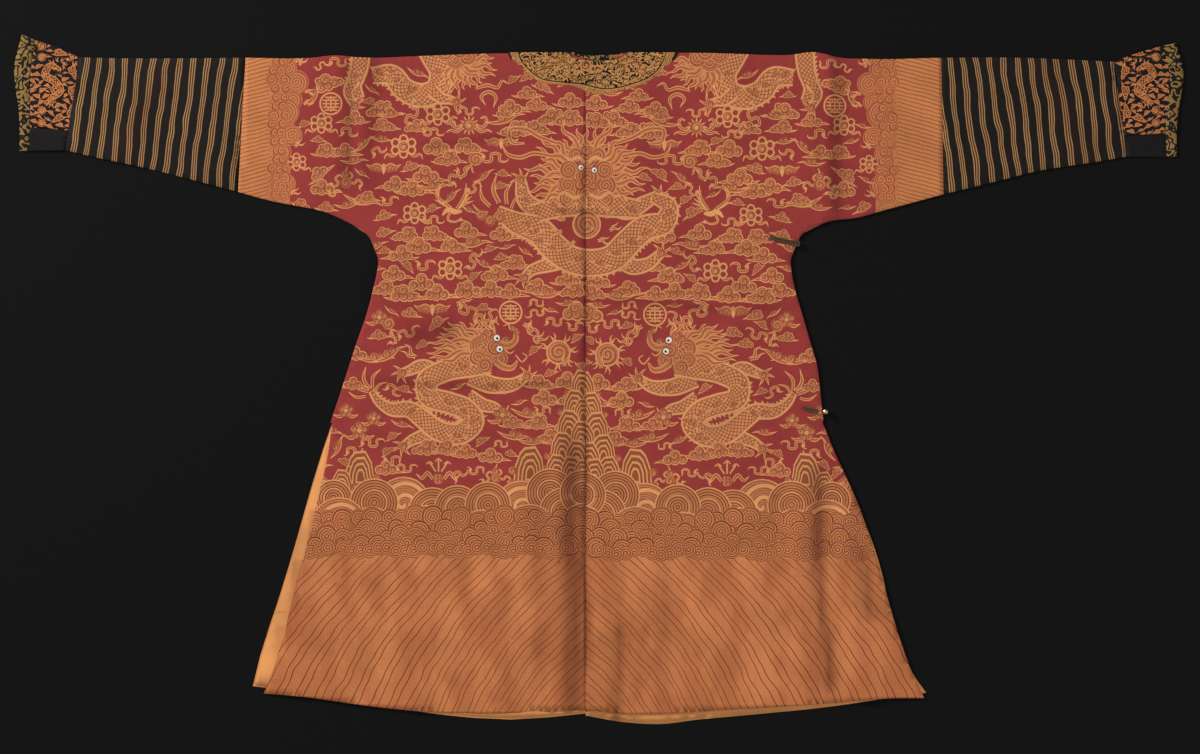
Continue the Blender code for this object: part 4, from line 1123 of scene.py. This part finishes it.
class Finish:
    """The nodes of one finish; its lengths are in millimetres."""

    def __init__(self, name, roughness, sheen, metallic=0.0, specular=0.1):
        self.material = bpy.data.materials.new(name)
        self.material.use_nodes = True
        self.tree = self.material.node_tree
        self.shader = self.tree.nodes["Principled BSDF"]
        for socket, value in (("Roughness", roughness), ("Sheen Weight", sheen), ("Metallic", metallic),
                              ("Specular IOR Level", specular), ("Sheen Roughness", 0.4)):
            self.shader.inputs[socket].default_value = value
        place = self.add("ShaderNodeTexCoord").outputs["Object"]
        self.place = self.add(
            "ShaderNodeVectorMath", {0: place, "Scale": 1 / MM}, operation="SCALE").outputs[0]
        self.x, self.y, _ = self.split(self.place)

    def give(self, node, socket, value):
        """Link or set one input of a node."""
        if isinstance(value, Value):
            value = value.socket
        if isinstance(value, bpy.types.NodeSocket):
            self.tree.links.new(value, node.inputs[socket])
        else:
            node.inputs[socket].default_value = value

    def add(self, kind, inputs=None, **settings):
        """Add a node with its settings and its inputs' links or values."""
        node = self.tree.nodes.new(kind)
        for key, value in settings.items():
            setattr(node, key, value)
        for socket, value in (inputs or {}).items():
            self.give(node, socket, value)
        return node

    def split(self, vector):
        """The three numbers of a vector."""
        return [Value(self, socket) for socket in self.add("ShaderNodeSeparateXYZ", {0: vector}).outputs]

    def math(self, operation, *values):
        """One step of arithmetic."""
        node = self.add("ShaderNodeMath", dict(enumerate(values)), operation=operation)
        return Value(self, node.outputs[0])

    def rise(self, value, low, high):
        """Rise smoothly from 0 at low to 1 at high."""
        node = self.add("ShaderNodeMapRange", {"Value": value, "From Min": low, "From Max": high},
                        interpolation_type="SMOOTHSTEP")
        return Value(self, node.outputs[0])

    def below(self, value, edge, soft=0.5):
        """1 where a value is under an edge."""
        return self.math("SUBTRACT", 1.0, self.rise(value, edge - soft, edge + soft))

    def lines(self, value, period, half, soft=0.5):
        """Lines at every period of a value, each twice half wide."""
        return self.below(value.step("PINGPONG", period / 2), half, soft)

    def noise(self, size, stretch=(1, 1, 1), detail=2.0):
        """Smooth noise whose features have about that size."""
        scale = [share / size for share in stretch]
        at = self.add("ShaderNodeVectorMath", {0: self.place, 1: scale}, operation="MULTIPLY").outputs[0]
        node = self.add("ShaderNodeTexNoise", {"Vector": at, "Scale": 1.0, "Detail": detail})
        return Value(self, node.outputs[0])

    def mix(self, share, first, second):
        """Blend two colours."""
        return self.add("ShaderNodeMix", {0: share, 6: first, 7: second}, data_type="RGBA").outputs[2]

    def figure(self):
        """The place within a woven shape."""
        return self.split(self.add("ShaderNodeAttribute", attribute_name=FIGURE).outputs["Vector"])

    def polar(self):
        """Distance from the middle of a round shape, angle round it, and its radius."""
        u, v, radius = self.figure()
        return (u * u + v * v).step("SQRT"), v.step("ARCTAN2", u), radius

    def weave(self, tint, pitch=0.9, streak=0.2):
        """Finish a cloth: threads, slubs, wear, painted shade in the folds, and the bump of the weave."""
        weft = self.noise(1.0, (0.03, 0.9, 1.0))
        warp = self.noise(1.0, (0.9, 0.03, 1.0))
        patch = self.noise(65.0, detail=3.0)
        light = patch * 0.5 + (weft * streak + warp * streak) + (1.0 - streak - 0.25)
        # painted shade: the colour darkens towards the fold shade where the folds are painted dark
        painted_shade = self.add("ShaderNodeAttribute", attribute_name=PAINTED_FOLD_SHADE).outputs["Fac"]
        tint = self.mix(self.math("MULTIPLY", painted_shade, PAINTED_FOLD_SHADE_SHARE), tint, colour("painted_fold_shade"))
        lit = self.add("ShaderNodeVectorMath", {0: tint, "Scale": light}, operation="SCALE")
        self.give(self.shader, "Base Color", lit.outputs[0])
        turn = 2 * math.pi / pitch
        height = (self.x * turn).step("SINE") * (self.y * turn).step("SINE") + weft * 1.5
        bump = self.add("ShaderNodeBump", {"Strength": 0.35, "Distance": WEAVE_DEPTH * MM, "Height": height})
        self.give(self.shader, "Normal", bump.outputs[0])
        roughness = self.shader.inputs["Roughness"].default_value
        self.give(self.shader, "Roughness", patch * 0.2 + (roughness - 0.1))
        return self.material


def toned(tint, share):
    """A colour multiplied by a share, or by a share for each of its channels."""
    return tuple(np.multiply(tint, share).tolist())


def outlined(f, fill, edge, bright, groove, width, gap=1.3):
    """A bright outline with a dark groove inside it, round a fill."""
    fill = f.mix(f.below(edge, width + gap), fill, colour(groove))
    return f.mix(f.below(edge, width), fill, colour(bright))


def ground_finish(name):
    """Crimson satin ground."""
    f = Finish(name, 0.62, 0.1)
    return f.weave(f.mix(f.noise(22.0), colour("ground"), toned(colour("ground"), 0.86)), 0.7)


def line_finish(name, tint="bright"):
    """Plain gold thread."""
    f = Finish(name, 0.5, 0.08)
    return f.weave(f.mix(f.noise(3.0), colour(tint), toned(colour(tint), 0.8)))


def lobe_finish(name, pitch=6.4, fill="gold", bright="bright", groove="brown", width=0.5, curl=1.0):
    """A curled lobe: a bright ring round a spiral."""
    f = Finish(name, 0.5, 0.08)
    reach, angle, radius = f.polar()
    bent = reach + angle * (curl * pitch / (2 * math.pi)) + f.noise(9.0) * 2.0
    inside = f.mix(f.lines(bent, pitch, pitch * LINE_SHARE), colour(fill), colour(groove))
    return f.weave(outlined(f, inside, radius - reach, bright, groove, width))


def wave_finish(name):
    """A rolling wave: a bright rim round thin rings, with one bright ring half way in."""
    f = Finish(name, 0.52, 0.08)
    pitch = 5.0
    reach, _, radius = f.polar()
    edge = radius - reach
    rings = f.lines(edge + f.noise(14.0) * 2.0, pitch, pitch * LINE_SHARE)
    inside = f.mix(rings, toned(colour("gold"), 0.96), colour("hem_line"))
    inside = f.mix(f.below(abs(reach - radius * 0.52), 1.0), inside, colour("bright"))
    return f.weave(f.mix(f.below(edge, 2.0, 0.7), inside, colour("bright")))


def roller_finish(name):
    """A great roller: a broad bright spiral on fine rings."""
    f = Finish(name, 0.52, 0.08)
    pitch, fine = 21.0, 4.2
    reach, angle, radius = f.polar()
    edge = radius - reach
    inside = f.mix(f.lines(edge, fine, fine * LINE_SHARE), colour("gold"), colour("brown"))
    spiral = (reach + angle * (pitch / (2 * math.pi))).step("PINGPONG", pitch / 2)
    inside = f.mix(f.below(spiral, 4.6), inside, colour("brown"))
    inside = f.mix(f.below(spiral, 3.6), inside, colour("bright"))
    return f.weave(f.mix(f.below(edge, 2.0, 0.7), inside, colour("bright")))


def scale_finish(name, pitch=8.6, line="bright", cell="brown"):
    """Dragon scales: mottled gold cells, a dark lattice between them and a bright border."""
    f = Finish(name, 0.5, 0.08)
    along, across, half = f.figure()
    wide = across * 1.05
    lattice = f.lines(along + wide, pitch, 0.95).step("MAXIMUM", f.lines(along - wide, pitch, 0.95))
    cells = f.mix(f.noise(5.0), colour("gold"), colour(line))
    return f.weave(outlined(f, f.mix(lattice, cells, colour(cell)), half - abs(across), line, cell, 1.7, 1.0))


def ribbon_finish(name, bright="bright", groove="brown", fill="gold"):
    """A band with bright edges and a shaded line down its middle."""
    f = Finish(name, 0.5, 0.08)
    _, across, half = f.figure()
    off = abs(across)
    middle = f.below(off, 0.7) * f.rise(half, 1.6, 2.6)
    inside = f.mix(middle, colour(fill), colour(groove))
    return f.weave(f.mix(f.below(half - off, 1.2), inside, colour(bright)))


def field_finish(name, base, line, pitch, size=26.0, share=0.24):
    """Foam between the discs: curling contour lines."""
    f = Finish(name, 0.55, 0.08)
    swirl = f.noise(size, detail=0.0) * 70.0
    return f.weave(f.mix(f.lines(swirl, pitch, pitch * share), base, line))


def brocade_finish(name, gold, size, pitch, share):
    """Black satin strewn with swirling gold."""
    f = Finish(name, 0.55, 0.15)
    swirl = f.noise(size, detail=0.5) * 60.0
    return f.weave(f.mix(f.lines(swirl, pitch, pitch * share), colour("black"), colour(gold)))


def hem_finish(name):
    """Gold hem bands: pairs of dark lines that slant away from the centre seam."""
    f = Finish(name, 0.46, 0.1)
    hem, period = colour("hem"), 35.0
    off = abs(f.x - CENTRE_X)
    down = f.y - HEM_TOP
    fall = down * 1.08 + down * down * (f.rise(off, 0.0, 320.0) * 0.0011)
    wavy = (f.noise(85.0, detail=1.0) - 0.5) * 18.0
    steps = (f.y * 0.16).step("SINE") * 0.8
    across = off + fall + (wavy + steps)
    first = f.lines(across, period, 0.8, 0.45)
    second = f.lines(across + (f.noise(90.0) * 12.0 + 7.0), period, 0.75, 0.45)
    broken = f.rise(f.noise(24.0, detail=0.0), 0.16, 0.22)
    marks = first.step("MAXIMUM", second) * broken
    # painted sheen: soft patches of brighter and duller gold
    satin = f.rise(f.noise(52.0, (1, 0.4, 1), 4.0), 0.3, 0.68)
    dull = toned(hem, (0.84, 0.77, 0.74, 1.0))
    sheen = f.mix(satin, dull, toned(hem, (1.14, 1.15, 1.14, 1.0)))
    # painted shade: duller gold near the centre seam's fold and towards the outer edge
    seam_painted_shade = f.below(off, 62.0, 46.0) * 0.45
    edge_painted_shade = f.rise(off, 440.0, 580.0) * 0.6
    sheen = f.mix(seam_painted_shade + edge_painted_shade, sheen, dull)
    fine = f.lines(f.y, 2.6, 0.5) * 0.12
    return f.weave(f.mix(marks, f.mix(fine, sheen, colour("brown")), colour("hem_line")))


def sleeve_lines_finish(name):
    """Fine slanting lines at the end of the figured sleeve."""
    f = Finish(name, 0.5, 0.08)
    across = f.y + abs(f.x - MIRROR_X) * 0.27 + f.noise(30.0) * 5.0
    lines = f.lines(across, 7.2, 1.0, 0.6)
    return f.weave(f.mix(lines, toned(colour("hem"), 1.05), toned(colour("hem"), 0.55)))


def stripe_finish(name):
    """Black silk with groups of three tan stripes along the sleeve's height."""
    f = Finish(name, 0.6, 0.1)
    across = abs(f.x) + f.y * 0.13 + f.noise(70.0, (1, 0.8, 1)) * 16.0
    group = f.below(across.step("PINGPONG", 12.3), 4.9, 0.3)
    fine = f.lines(across, 4.1, 0.85, 0.3)
    base = f.mix(group, colour("stripe_ground"), colour("stripe_bed"))
    return f.weave(f.mix(group * fine, base, colour("stripe")))


def plain_finish(name, tint, roughness=0.6, sheen=0.15, mottle=30.0):
    """Plain cloth with uneven dye."""
    f = Finish(name, roughness, sheen)
    return f.weave(f.mix(f.noise(mottle), colour(tint), toned(colour(tint), 0.8)), streak=0.16)


def braid_finish(name):
    """Twisted cord."""
    f = Finish(name, 0.6, 0.1)
    twist = f.lines(f.x + f.y * 0.8, 3.2, 0.6, 0.4)
    return f.weave(f.mix(twist, colour("cord"), colour("cord_light")))


def metal_finish(name):
    """Worn gilt brass."""
    f = Finish(name, 0.32, 0.0, 1.0, 0.5)
    worn = f.noise(3.0, detail=4.0)
    f.give(f.shader, "Base Color", f.mix(worn, colour("brass"), toned(colour("brass"), 0.7)))
    f.give(f.shader, "Roughness", f.rise(worn, 0.0, 1.6))
    return f.material


def once(name, make, *settings):
    """A finish that pieces share: made the first time, then found by its name."""
    return bpy.data.materials.get(name) or make(name, *settings)


def woven(prefix, recipes):
    """The finishes of one cloth, by the names that its shapes use."""
    return {kind: once(prefix + kind, *recipe) for kind, recipe in recipes.items()}


def silk_finishes():
    """The finishes of the figured silk."""
    hem = colour("hem")
    return woven("", {
        "ground": (ground_finish,),
        "line": (line_finish,),
        "cloud": (lobe_finish,),
        "pearl": (lobe_finish, 8.0),
        "face": (lobe_finish, 5.6, "gold", "bright", "brown", 1.4),
        "foam": (lobe_finish, 4.6, "hem", "bright", "hem_line", 0.7, 0.25),
        "scales": (scale_finish,),
        "ribbon": (ribbon_finish,),
        "wave": (wave_finish,),
        "roller": (roller_finish,),
        "foam_field": (field_finish, hem, colour("brown"), 5.0),
        "rock": (plain_finish, "rock"),
        "hem": (hem_finish,),
        "sleeve_lines": (sleeve_lines_finish,),
        "sleeve_foam": (field_finish, hem, toned(hem, 0.75), 6.0),
        "sleeve_wave": (lobe_finish, 5.0, "hem", "hem", "brown", 1.5),
        "brown": (plain_finish, "brown"),
        "eye": (plain_finish, "eye"),
        "pupil": (plain_finish, "black"),
    })


def lining_finish():
    """Gold lining."""
    return once("lining", plain_finish, "lining", 0.5, 0.3, 60.0)


def satin_finish():
    """Plain black satin."""
    return once("satin", plain_finish, "black", 0.5)


def scroll_finish():
    """Black bands with gold scrolls."""
    return once("scroll", brocade_finish, "scroll", 11.0, 17.0, 0.24)


# ---------------------------------------------------------------- pieces

SIDES = ((-1, "left"), (1, "right"))
ALONG = 0.7            # an edge whose outward Y passes this runs along the sleeve
NECK_BAND = 580.0      # the collar folds over above this Y
SLEEVE_CELL = 14.0
CUFF_CELL = 8.0
BINDING_CELL = 6.0
LINING_CELL = 30.0
COLLAR_FOOT = 1.2      # height at which the collar's fold ends


def body_fold(x, y, out):
    """True where the body's silk folds over: shoulders, undersides of the sleeves and sides."""
    near_neck = math.hypot(x - NECK[0], y - NECK[1]) < 60
    at_seam = abs(x - CENTRE_X) < 2
    at_sleeve = abs(x) > 612 and abs(out.x) > 0.8
    return y > VENT_TOP and not (near_neck or at_seam or at_sleeve)


def tube_fold(x, y, out):
    """True along the top and the underside of a sleeve."""
    return abs(out.y) > ALONG


def top_fold(x, y, out):
    """True along the top of a sleeve."""
    return out.y > ALONG


def under_fold(x, y, out):
    """True along the underside of a sleeve."""
    return out.y < -ALONG


def neck_fold(x, y, out):
    """True along the neck's edge of the collar and of its binding."""
    return y > NECK_BAND and out.y > ALONG


def no_fold(x, y, out):
    """A panel without folded edges."""
    return False


def declare(node, layers=1):
    """Work out the cut of a flat piece of cloth, its outline on every layer; the sizes are not passed on."""
    low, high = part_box(node)
    width = (high[0] - low[0]) * layers
    length = high[1] - low[1]
    solid = cad_surface(node)
    surface = math.fsum(face.calc_area() for face in outer_top(solid))
    solid.free()
    area = min(surface * layers, width * length)
    if area < 0.35 * width * length:
        width = max(area / (length + width), NARROWEST_CUT)
        length = area / width


def lower_layer(name, node):
    """The hidden lower layer of a half, as a plain mesh on its CAD layer."""
    solid = cad_surface(node)
    for face in solid.faces:
        face.normal_flip()
    for vert in solid.verts:
        vert.co.z *= -1
    solid.normal_update()
    lowest = outer_top(solid)
    others = [face for face in solid.faces if face not in lowest]
    bmesh.ops.delete(solid, geom=others, context="FACES")
    for vert in solid.verts:
        vert.co.z *= -1
    bmesh.ops.reverse_faces(solid, faces=solid.faces)
    mesh = bpy.data.meshes.new(name)
    solid.to_mesh(mesh)
    solid.free()
    return mesh


class ROBE_OT_back(bpy.types.Operator):
    """Weave the two figured halves of the back"""

    bl_idname = "robe.back"
    bl_label = "Figured back"

    def execute(self, context):
        finishes = silk_finishes()
        for side, name in SIDES:
            node = "body_" + name
            piece = make_panel("silk_" + name, node, robe_pattern(side), finishes,
                               sizes().silk, body_fold, lining_finish())
            declare(node)
        return {"FINISHED"}


class ROBE_OT_front(bpy.types.Operator):
    """Lay the plain fronts and the linings under the back"""

    bl_idname = "robe.front"
    bl_label = "Fronts and linings"

    def execute(self, context):
        silk = once("ground", ground_finish)
        gold = lining_finish()
        for name, node in (("silk_front_left", "body_left"), ("silk_underlap", "body_right")):
            piece = finish_piece(name, lower_layer(name, node), {"ground": silk}, sizes().silk,
                                 node, gold)
        # the overlap lies with its lining upwards and its silk to the floor
        for name, node, under, slot in (
            ("silk_overlap", "front_overlap", silk, "crimson_silk"),
            ("gold_lining_left", "lining_left", gold, "gold_lining"),
            ("gold_lining_right", "lining_right", gold, "gold_lining"),
        ):
            piece = make_panel(name, node, Pattern("ground"), {"ground": gold}, sizes().lining,
                               no_fold, under, blur=0, creased=0.0, cell=LINING_CELL)
            declare(node)
        return {"FINISHED"}


class ROBE_OT_sleeves(bpy.types.Operator):
    """Sew on the striped sleeves"""

    bl_idname = "robe.sleeves"
    bl_label = "Striped sleeves"

    def execute(self, context):
        finishes = {"stripes": once("stripes", stripe_finish)}
        for _, name in SIDES:
            node = "sleeve_" + name
            piece = make_panel("striped_sleeve_" + name, node, Pattern("stripes"), finishes,
                               sizes().silk, tube_fold, tube=True, cell=SLEEVE_CELL)
            declare(node, 2)
        return {"FINISHED"}


def draw_cuff(pen):
    """Clouds along the sleeve, a small dragon in the middle and a wave curl by the band."""
    for x, y, size, turn in ((34, 76, 0.5, 80), (36, 40, 0.5, 100), (35, 4, 0.5, 80), (33, -34, 0.5, 95),
                             (12, 74, 0.45, 0), (10, -44, 0.45, 20)):
        draw_cloud(pen.at(x, y, size, turn), int(y) % 3)
    pen.strip([(14, 44), (-6, 50), (-14, 34), (4, 22), (14, 6), (-2, -8), (-14, -20)],
              (6, 12, 14, 14, 13, 11, 6), "scales", 4)
    for y, turn in ((52, 130), (30, 200), (8, -20), (-16, 200)):
        draw_claw(pen.at(-2, y, 0.5, turn))
    # here the angle counts as radians for the place, which strews the flame's tongues unevenly
    for turn in range(0, 360, 45):
        draw_flame(pen.at(12 + 6 * math.cos(turn), 52 + 6 * math.sin(turn), 0.35, turn))
    for y in (-52, -30, 66, 86):
        pen.disc(-20, y, 8, "cloud")
    fill_gaps(pen, (-42, -72), (44, 98), 5.5, 3)
    fill_gaps(pen, (-42, -72), (44, 98), 4.0, 4)


class ROBE_OT_cuffs(bpy.types.Operator):
    """Sew on the horse-hoof cuffs with their gussets and bands"""

    bl_idname = "robe.cuffs"
    bl_label = "Hoof cuffs"

    def execute(self, context):
        satin = {"ground": satin_finish()}
        brocade = satin | woven("cuff_", {
            "cloud": (lobe_finish, 6.0, "cuff_gold", "gold", "black", 1.4),
            "ribbon": (ribbon_finish, "gold", "black", "cuff_gold"),
            "scales": (scale_finish, 6.0, "cuff_gold", "black"),
            "line": (line_finish, "cuff_gold"),
        })
        band = {"scroll": scroll_finish(), "ochre": once("ochre", line_finish, "ochre")}
        for side, name in SIDES:
            hoof, mouth = Pattern("ground"), Pattern("scroll")
            draw_cuff(Pen(hoof, side * 984, 515, 1, 0, -side))
            pen = Pen(mouth, side * 1036, 510, 1, 0, -side)
            pen.strip([(24, -110), (24, -40), (20, 40), (26, 112)], (5, 5), "ochre", 12)
            for title, stem, pattern, finishes, slot, fold in (
                ("hoof_", "cuff_", hoof, brocade, "cuff_brocade", top_fold),
                ("gusset_", "cuff_gusset_", Pattern("ground"), satin, "plain_satin", under_fold),
                ("mouth_band_", "cuff_band_", mouth, band, "scroll_band", tube_fold),
            ):
                node = stem + name
                piece = make_panel(title + name, node, pattern, finishes, sizes().silk, fold,
                                   tube=True, cell=CUFF_CELL)
                declare(node, 2)
        return {"FINISHED"}


COLLAR_EDGE = [(-164, 592), (-157, 568), (-142, 549), (-109, 525), (-70, 518), (-31, 514), (3, 506),
               (36, 508), (70, 517), (99, 529), (122, 549), (142, 592)]


def draw_collar(pen):
    """Two dragons that face a pearl, clouds between them and a braided border."""
    for side in (-1, 1):
        half = pen.at(-11, 0, 1, 0, side)
        half.strip([(120, 578), (108, 556), (84, 560), (70, 576), (50, 566), (44, 548)],
                   (14, 18, 19, 18, 16, 8), "scales", 4)
        for x, y, turn in ((112, 566, -60), (90, 548, -90), (62, 586, 60), (50, 546, 200), (132, 580, 30)):
            draw_claw(half.at(x, y, 0.55, turn))
        half.discs([(40, 574, 9), (32, 566, 7), (46, 584, 7), (98, 578, 6), (24, 536, 7),
                    (34, 544, 6), (60, 536, 7), (74, 540, 6), (12, 544, 6), (88, 538, 5)], "cloud")
        for x, y, turn in ((30, 584, 20), (28, 556, -40), (100, 590, 40), (134, 560, 70), (76, 590, 0)):
            draw_flame(half.at(x, y, 0.5, turn))
    for x in (-30, -14, 2):
        pen.disc(x, 530, 7, "cloud")
    fill_gaps(pen, (-150, 515), (130, 588), 5.0, 5)
    fill_gaps(pen, (-150, 515), (130, 588), 3.6, 6)
    border_line = smooth(COLLAR_EDGE, 10)
    for width, finish in ((38, "satin"), (34, "line"), (30, "border"), (7, "edge")):
        pen.strip(border_line, (width, width), finish, 8)
    pen.disc(-24, 566, 11, "line")
    pen.disc(-24, 566, 9, "pearl")


class ROBE_OT_collar(bpy.types.Operator):
    """Lay the figured collar and the neck binding"""

    bl_idname = "robe.collar"
    bl_label = "Collar and binding"

    def execute(self, context):
        finishes = {"satin": satin_finish()} | woven("collar_", {
            "ground": (brocade_finish, "collar_gold", 10.0, 13.0, 0.16),
            "cloud": (lobe_finish, 6.0, "collar_gold", "collar_gold", "black", 1.4),
            "ribbon": (ribbon_finish, "collar_gold", "black", "collar_gold"),
            "scales": (scale_finish, 5.5, "collar_gold", "black"),
            "line": (line_finish, "collar_gold"),
            "pearl": (lobe_finish, 7.0, "hem", "hem", "black", 2.0),
            "border": (field_finish, colour("collar_gold"), colour("black"), 4.4, 16.0, 0.17),
        }) | {"edge": once("piping", plain_finish, "piping")}
        pattern = Pattern("ground")
        draw_collar(Pen(pattern))
        piece = make_panel("collar_figured", "collar", pattern, finishes, sizes().silk,
                           neck_fold, foot=COLLAR_FOOT, cell=CUFF_CELL)
        declare("collar")
        piece = make_panel("neck_binding_scrolled", "neck_binding", Pattern("scroll"),
                           {"scroll": scroll_finish()}, sizes().silk, neck_fold,
                           foot=COLLAR_FOOT, cell=BINDING_CELL)
        declare("neck_binding", 2)
        return {"FINISHED"}


class ROBE_OT_fasteners(bpy.types.Operator):
    """Finish the closing loops and the button"""

    bl_idname = "robe.fasteners"
    bl_label = "Loops and button"

    def execute(self, context):
        for node in ("loop_underarm", "loop_side"):
            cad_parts[node].data.materials[0] = once("cord_braid", braid_finish)
        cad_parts["button_side"].data.materials[0] = once("button_brass", metal_finish)
        return {"FINISHED"}


FLOOR_HALF = 6.0       # metres, as are the places of the lamps and the camera
Lamp = namedtuple("Lamp", "name place size power")
LAMPS = [
    Lamp("key", (-5.2, 3.6, 3.2), 1.6, 455.0),
    Lamp("fill", (4.0, -2.0, 3.6), 3.0, 85.0),
    Lamp("top", (0.0, 0.0, 4.6), 4.0, 40.0),
]
SKY_STRENGTH = 0.2
LENS = 85
CAMERA_X, CAMERA_Y = 0.002, 0.0045


class ROBE_OT_stage(bpy.types.Operator):
    """Set the floor, the lights and the camera"""

    bl_idname = "robe.stage"
    bl_label = "Floor, lights and camera"

    def execute(self, context):
        scene = bpy.context.scene
        floor = bmesh.new()
        bmesh.ops.create_grid(floor, x_segments=1, y_segments=1, size=FLOOR_HALF)
        mesh = bpy.data.meshes.new("floor")
        floor.to_mesh(mesh)
        floor.free()
        f = Finish("floor", 0.8, 0.0)
        tint = f.mix(f.noise(400.0), colour("floor"), toned(colour("floor"), 0.97))
        f.give(f.shader, "Base Color", tint)
        mesh.materials.append(f.material)
        put("floor", mesh)
        for lamp in LAMPS:
            light = bpy.data.lights.new(lamp.name, "AREA")
            light.size = lamp.size
            light.energy = lamp.power
            turn = (-Vector(lamp.place)).to_track_quat("-Z", "Y").to_euler()
            put(lamp.name, light, lamp.place).rotation_euler = turn
        world = bpy.data.worlds.new("studio")
        world.use_nodes = True
        sky = world.node_tree.nodes["Background"]
        sky.inputs["Color"].default_value = (1, 1, 1, 1)
        sky.inputs["Strength"].default_value = SKY_STRENGTH
        scene.world = world
        lens = bpy.data.cameras.new("camera")
        lens.lens = LENS
        scene.camera = put("camera", lens, (CAMERA_X, CAMERA_Y, sizes().camera_height))
        scene.view_settings.view_transform = "Standard"
        return {"FINISHED"}


STEPS = [ROBE_OT_back, ROBE_OT_front, ROBE_OT_sleeves, ROBE_OT_cuffs, ROBE_OT_collar,
         ROBE_OT_fasteners, ROBE_OT_stage]


class ROBE_PT_panel(bpy.types.Panel):
    """Steps that make the robe"""

    bl_label = "Dragon robe"
    bl_idname = "ROBE_PT_panel"
    bl_space_type = "VIEW_3D"
    bl_region_type = "UI"
    bl_category = "Robe"

    def draw(self, context):
        layout = self.layout
        for step in STEPS:
            layout.operator(step.bl_idname)
        for group in (context.scene.robe_sizes, context.scene.robe_colours):
            for name in group.__annotations__:
                layout.prop(group, name)


CLASSES = [RobeSizes, RobeColours, *STEPS, ROBE_PT_panel]


def register():
    """Add the robe's settings, steps and panel."""
    for cls in CLASSES:
        bpy.utils.register_class(cls)
    bpy.types.Scene.robe_sizes = bpy.props.PointerProperty(type=RobeSizes)
    bpy.types.Scene.robe_colours = bpy.props.PointerProperty(type=RobeColours)


def unregister():
    """Remove what register added."""
    del bpy.types.Scene.robe_colours
    del bpy.types.Scene.robe_sizes
    for cls in reversed(CLASSES):
        bpy.utils.unregister_class(cls)


def main():
    """Make the robe in order."""
    register()
    bpy.ops.robe.back()
    bpy.ops.robe.front()
    bpy.ops.robe.sleeves()
    bpy.ops.robe.cuffs()
    bpy.ops.robe.collar()
    bpy.ops.robe.fasteners()
    bpy.ops.robe.stage()


if __name__ == "__main__":
    main()
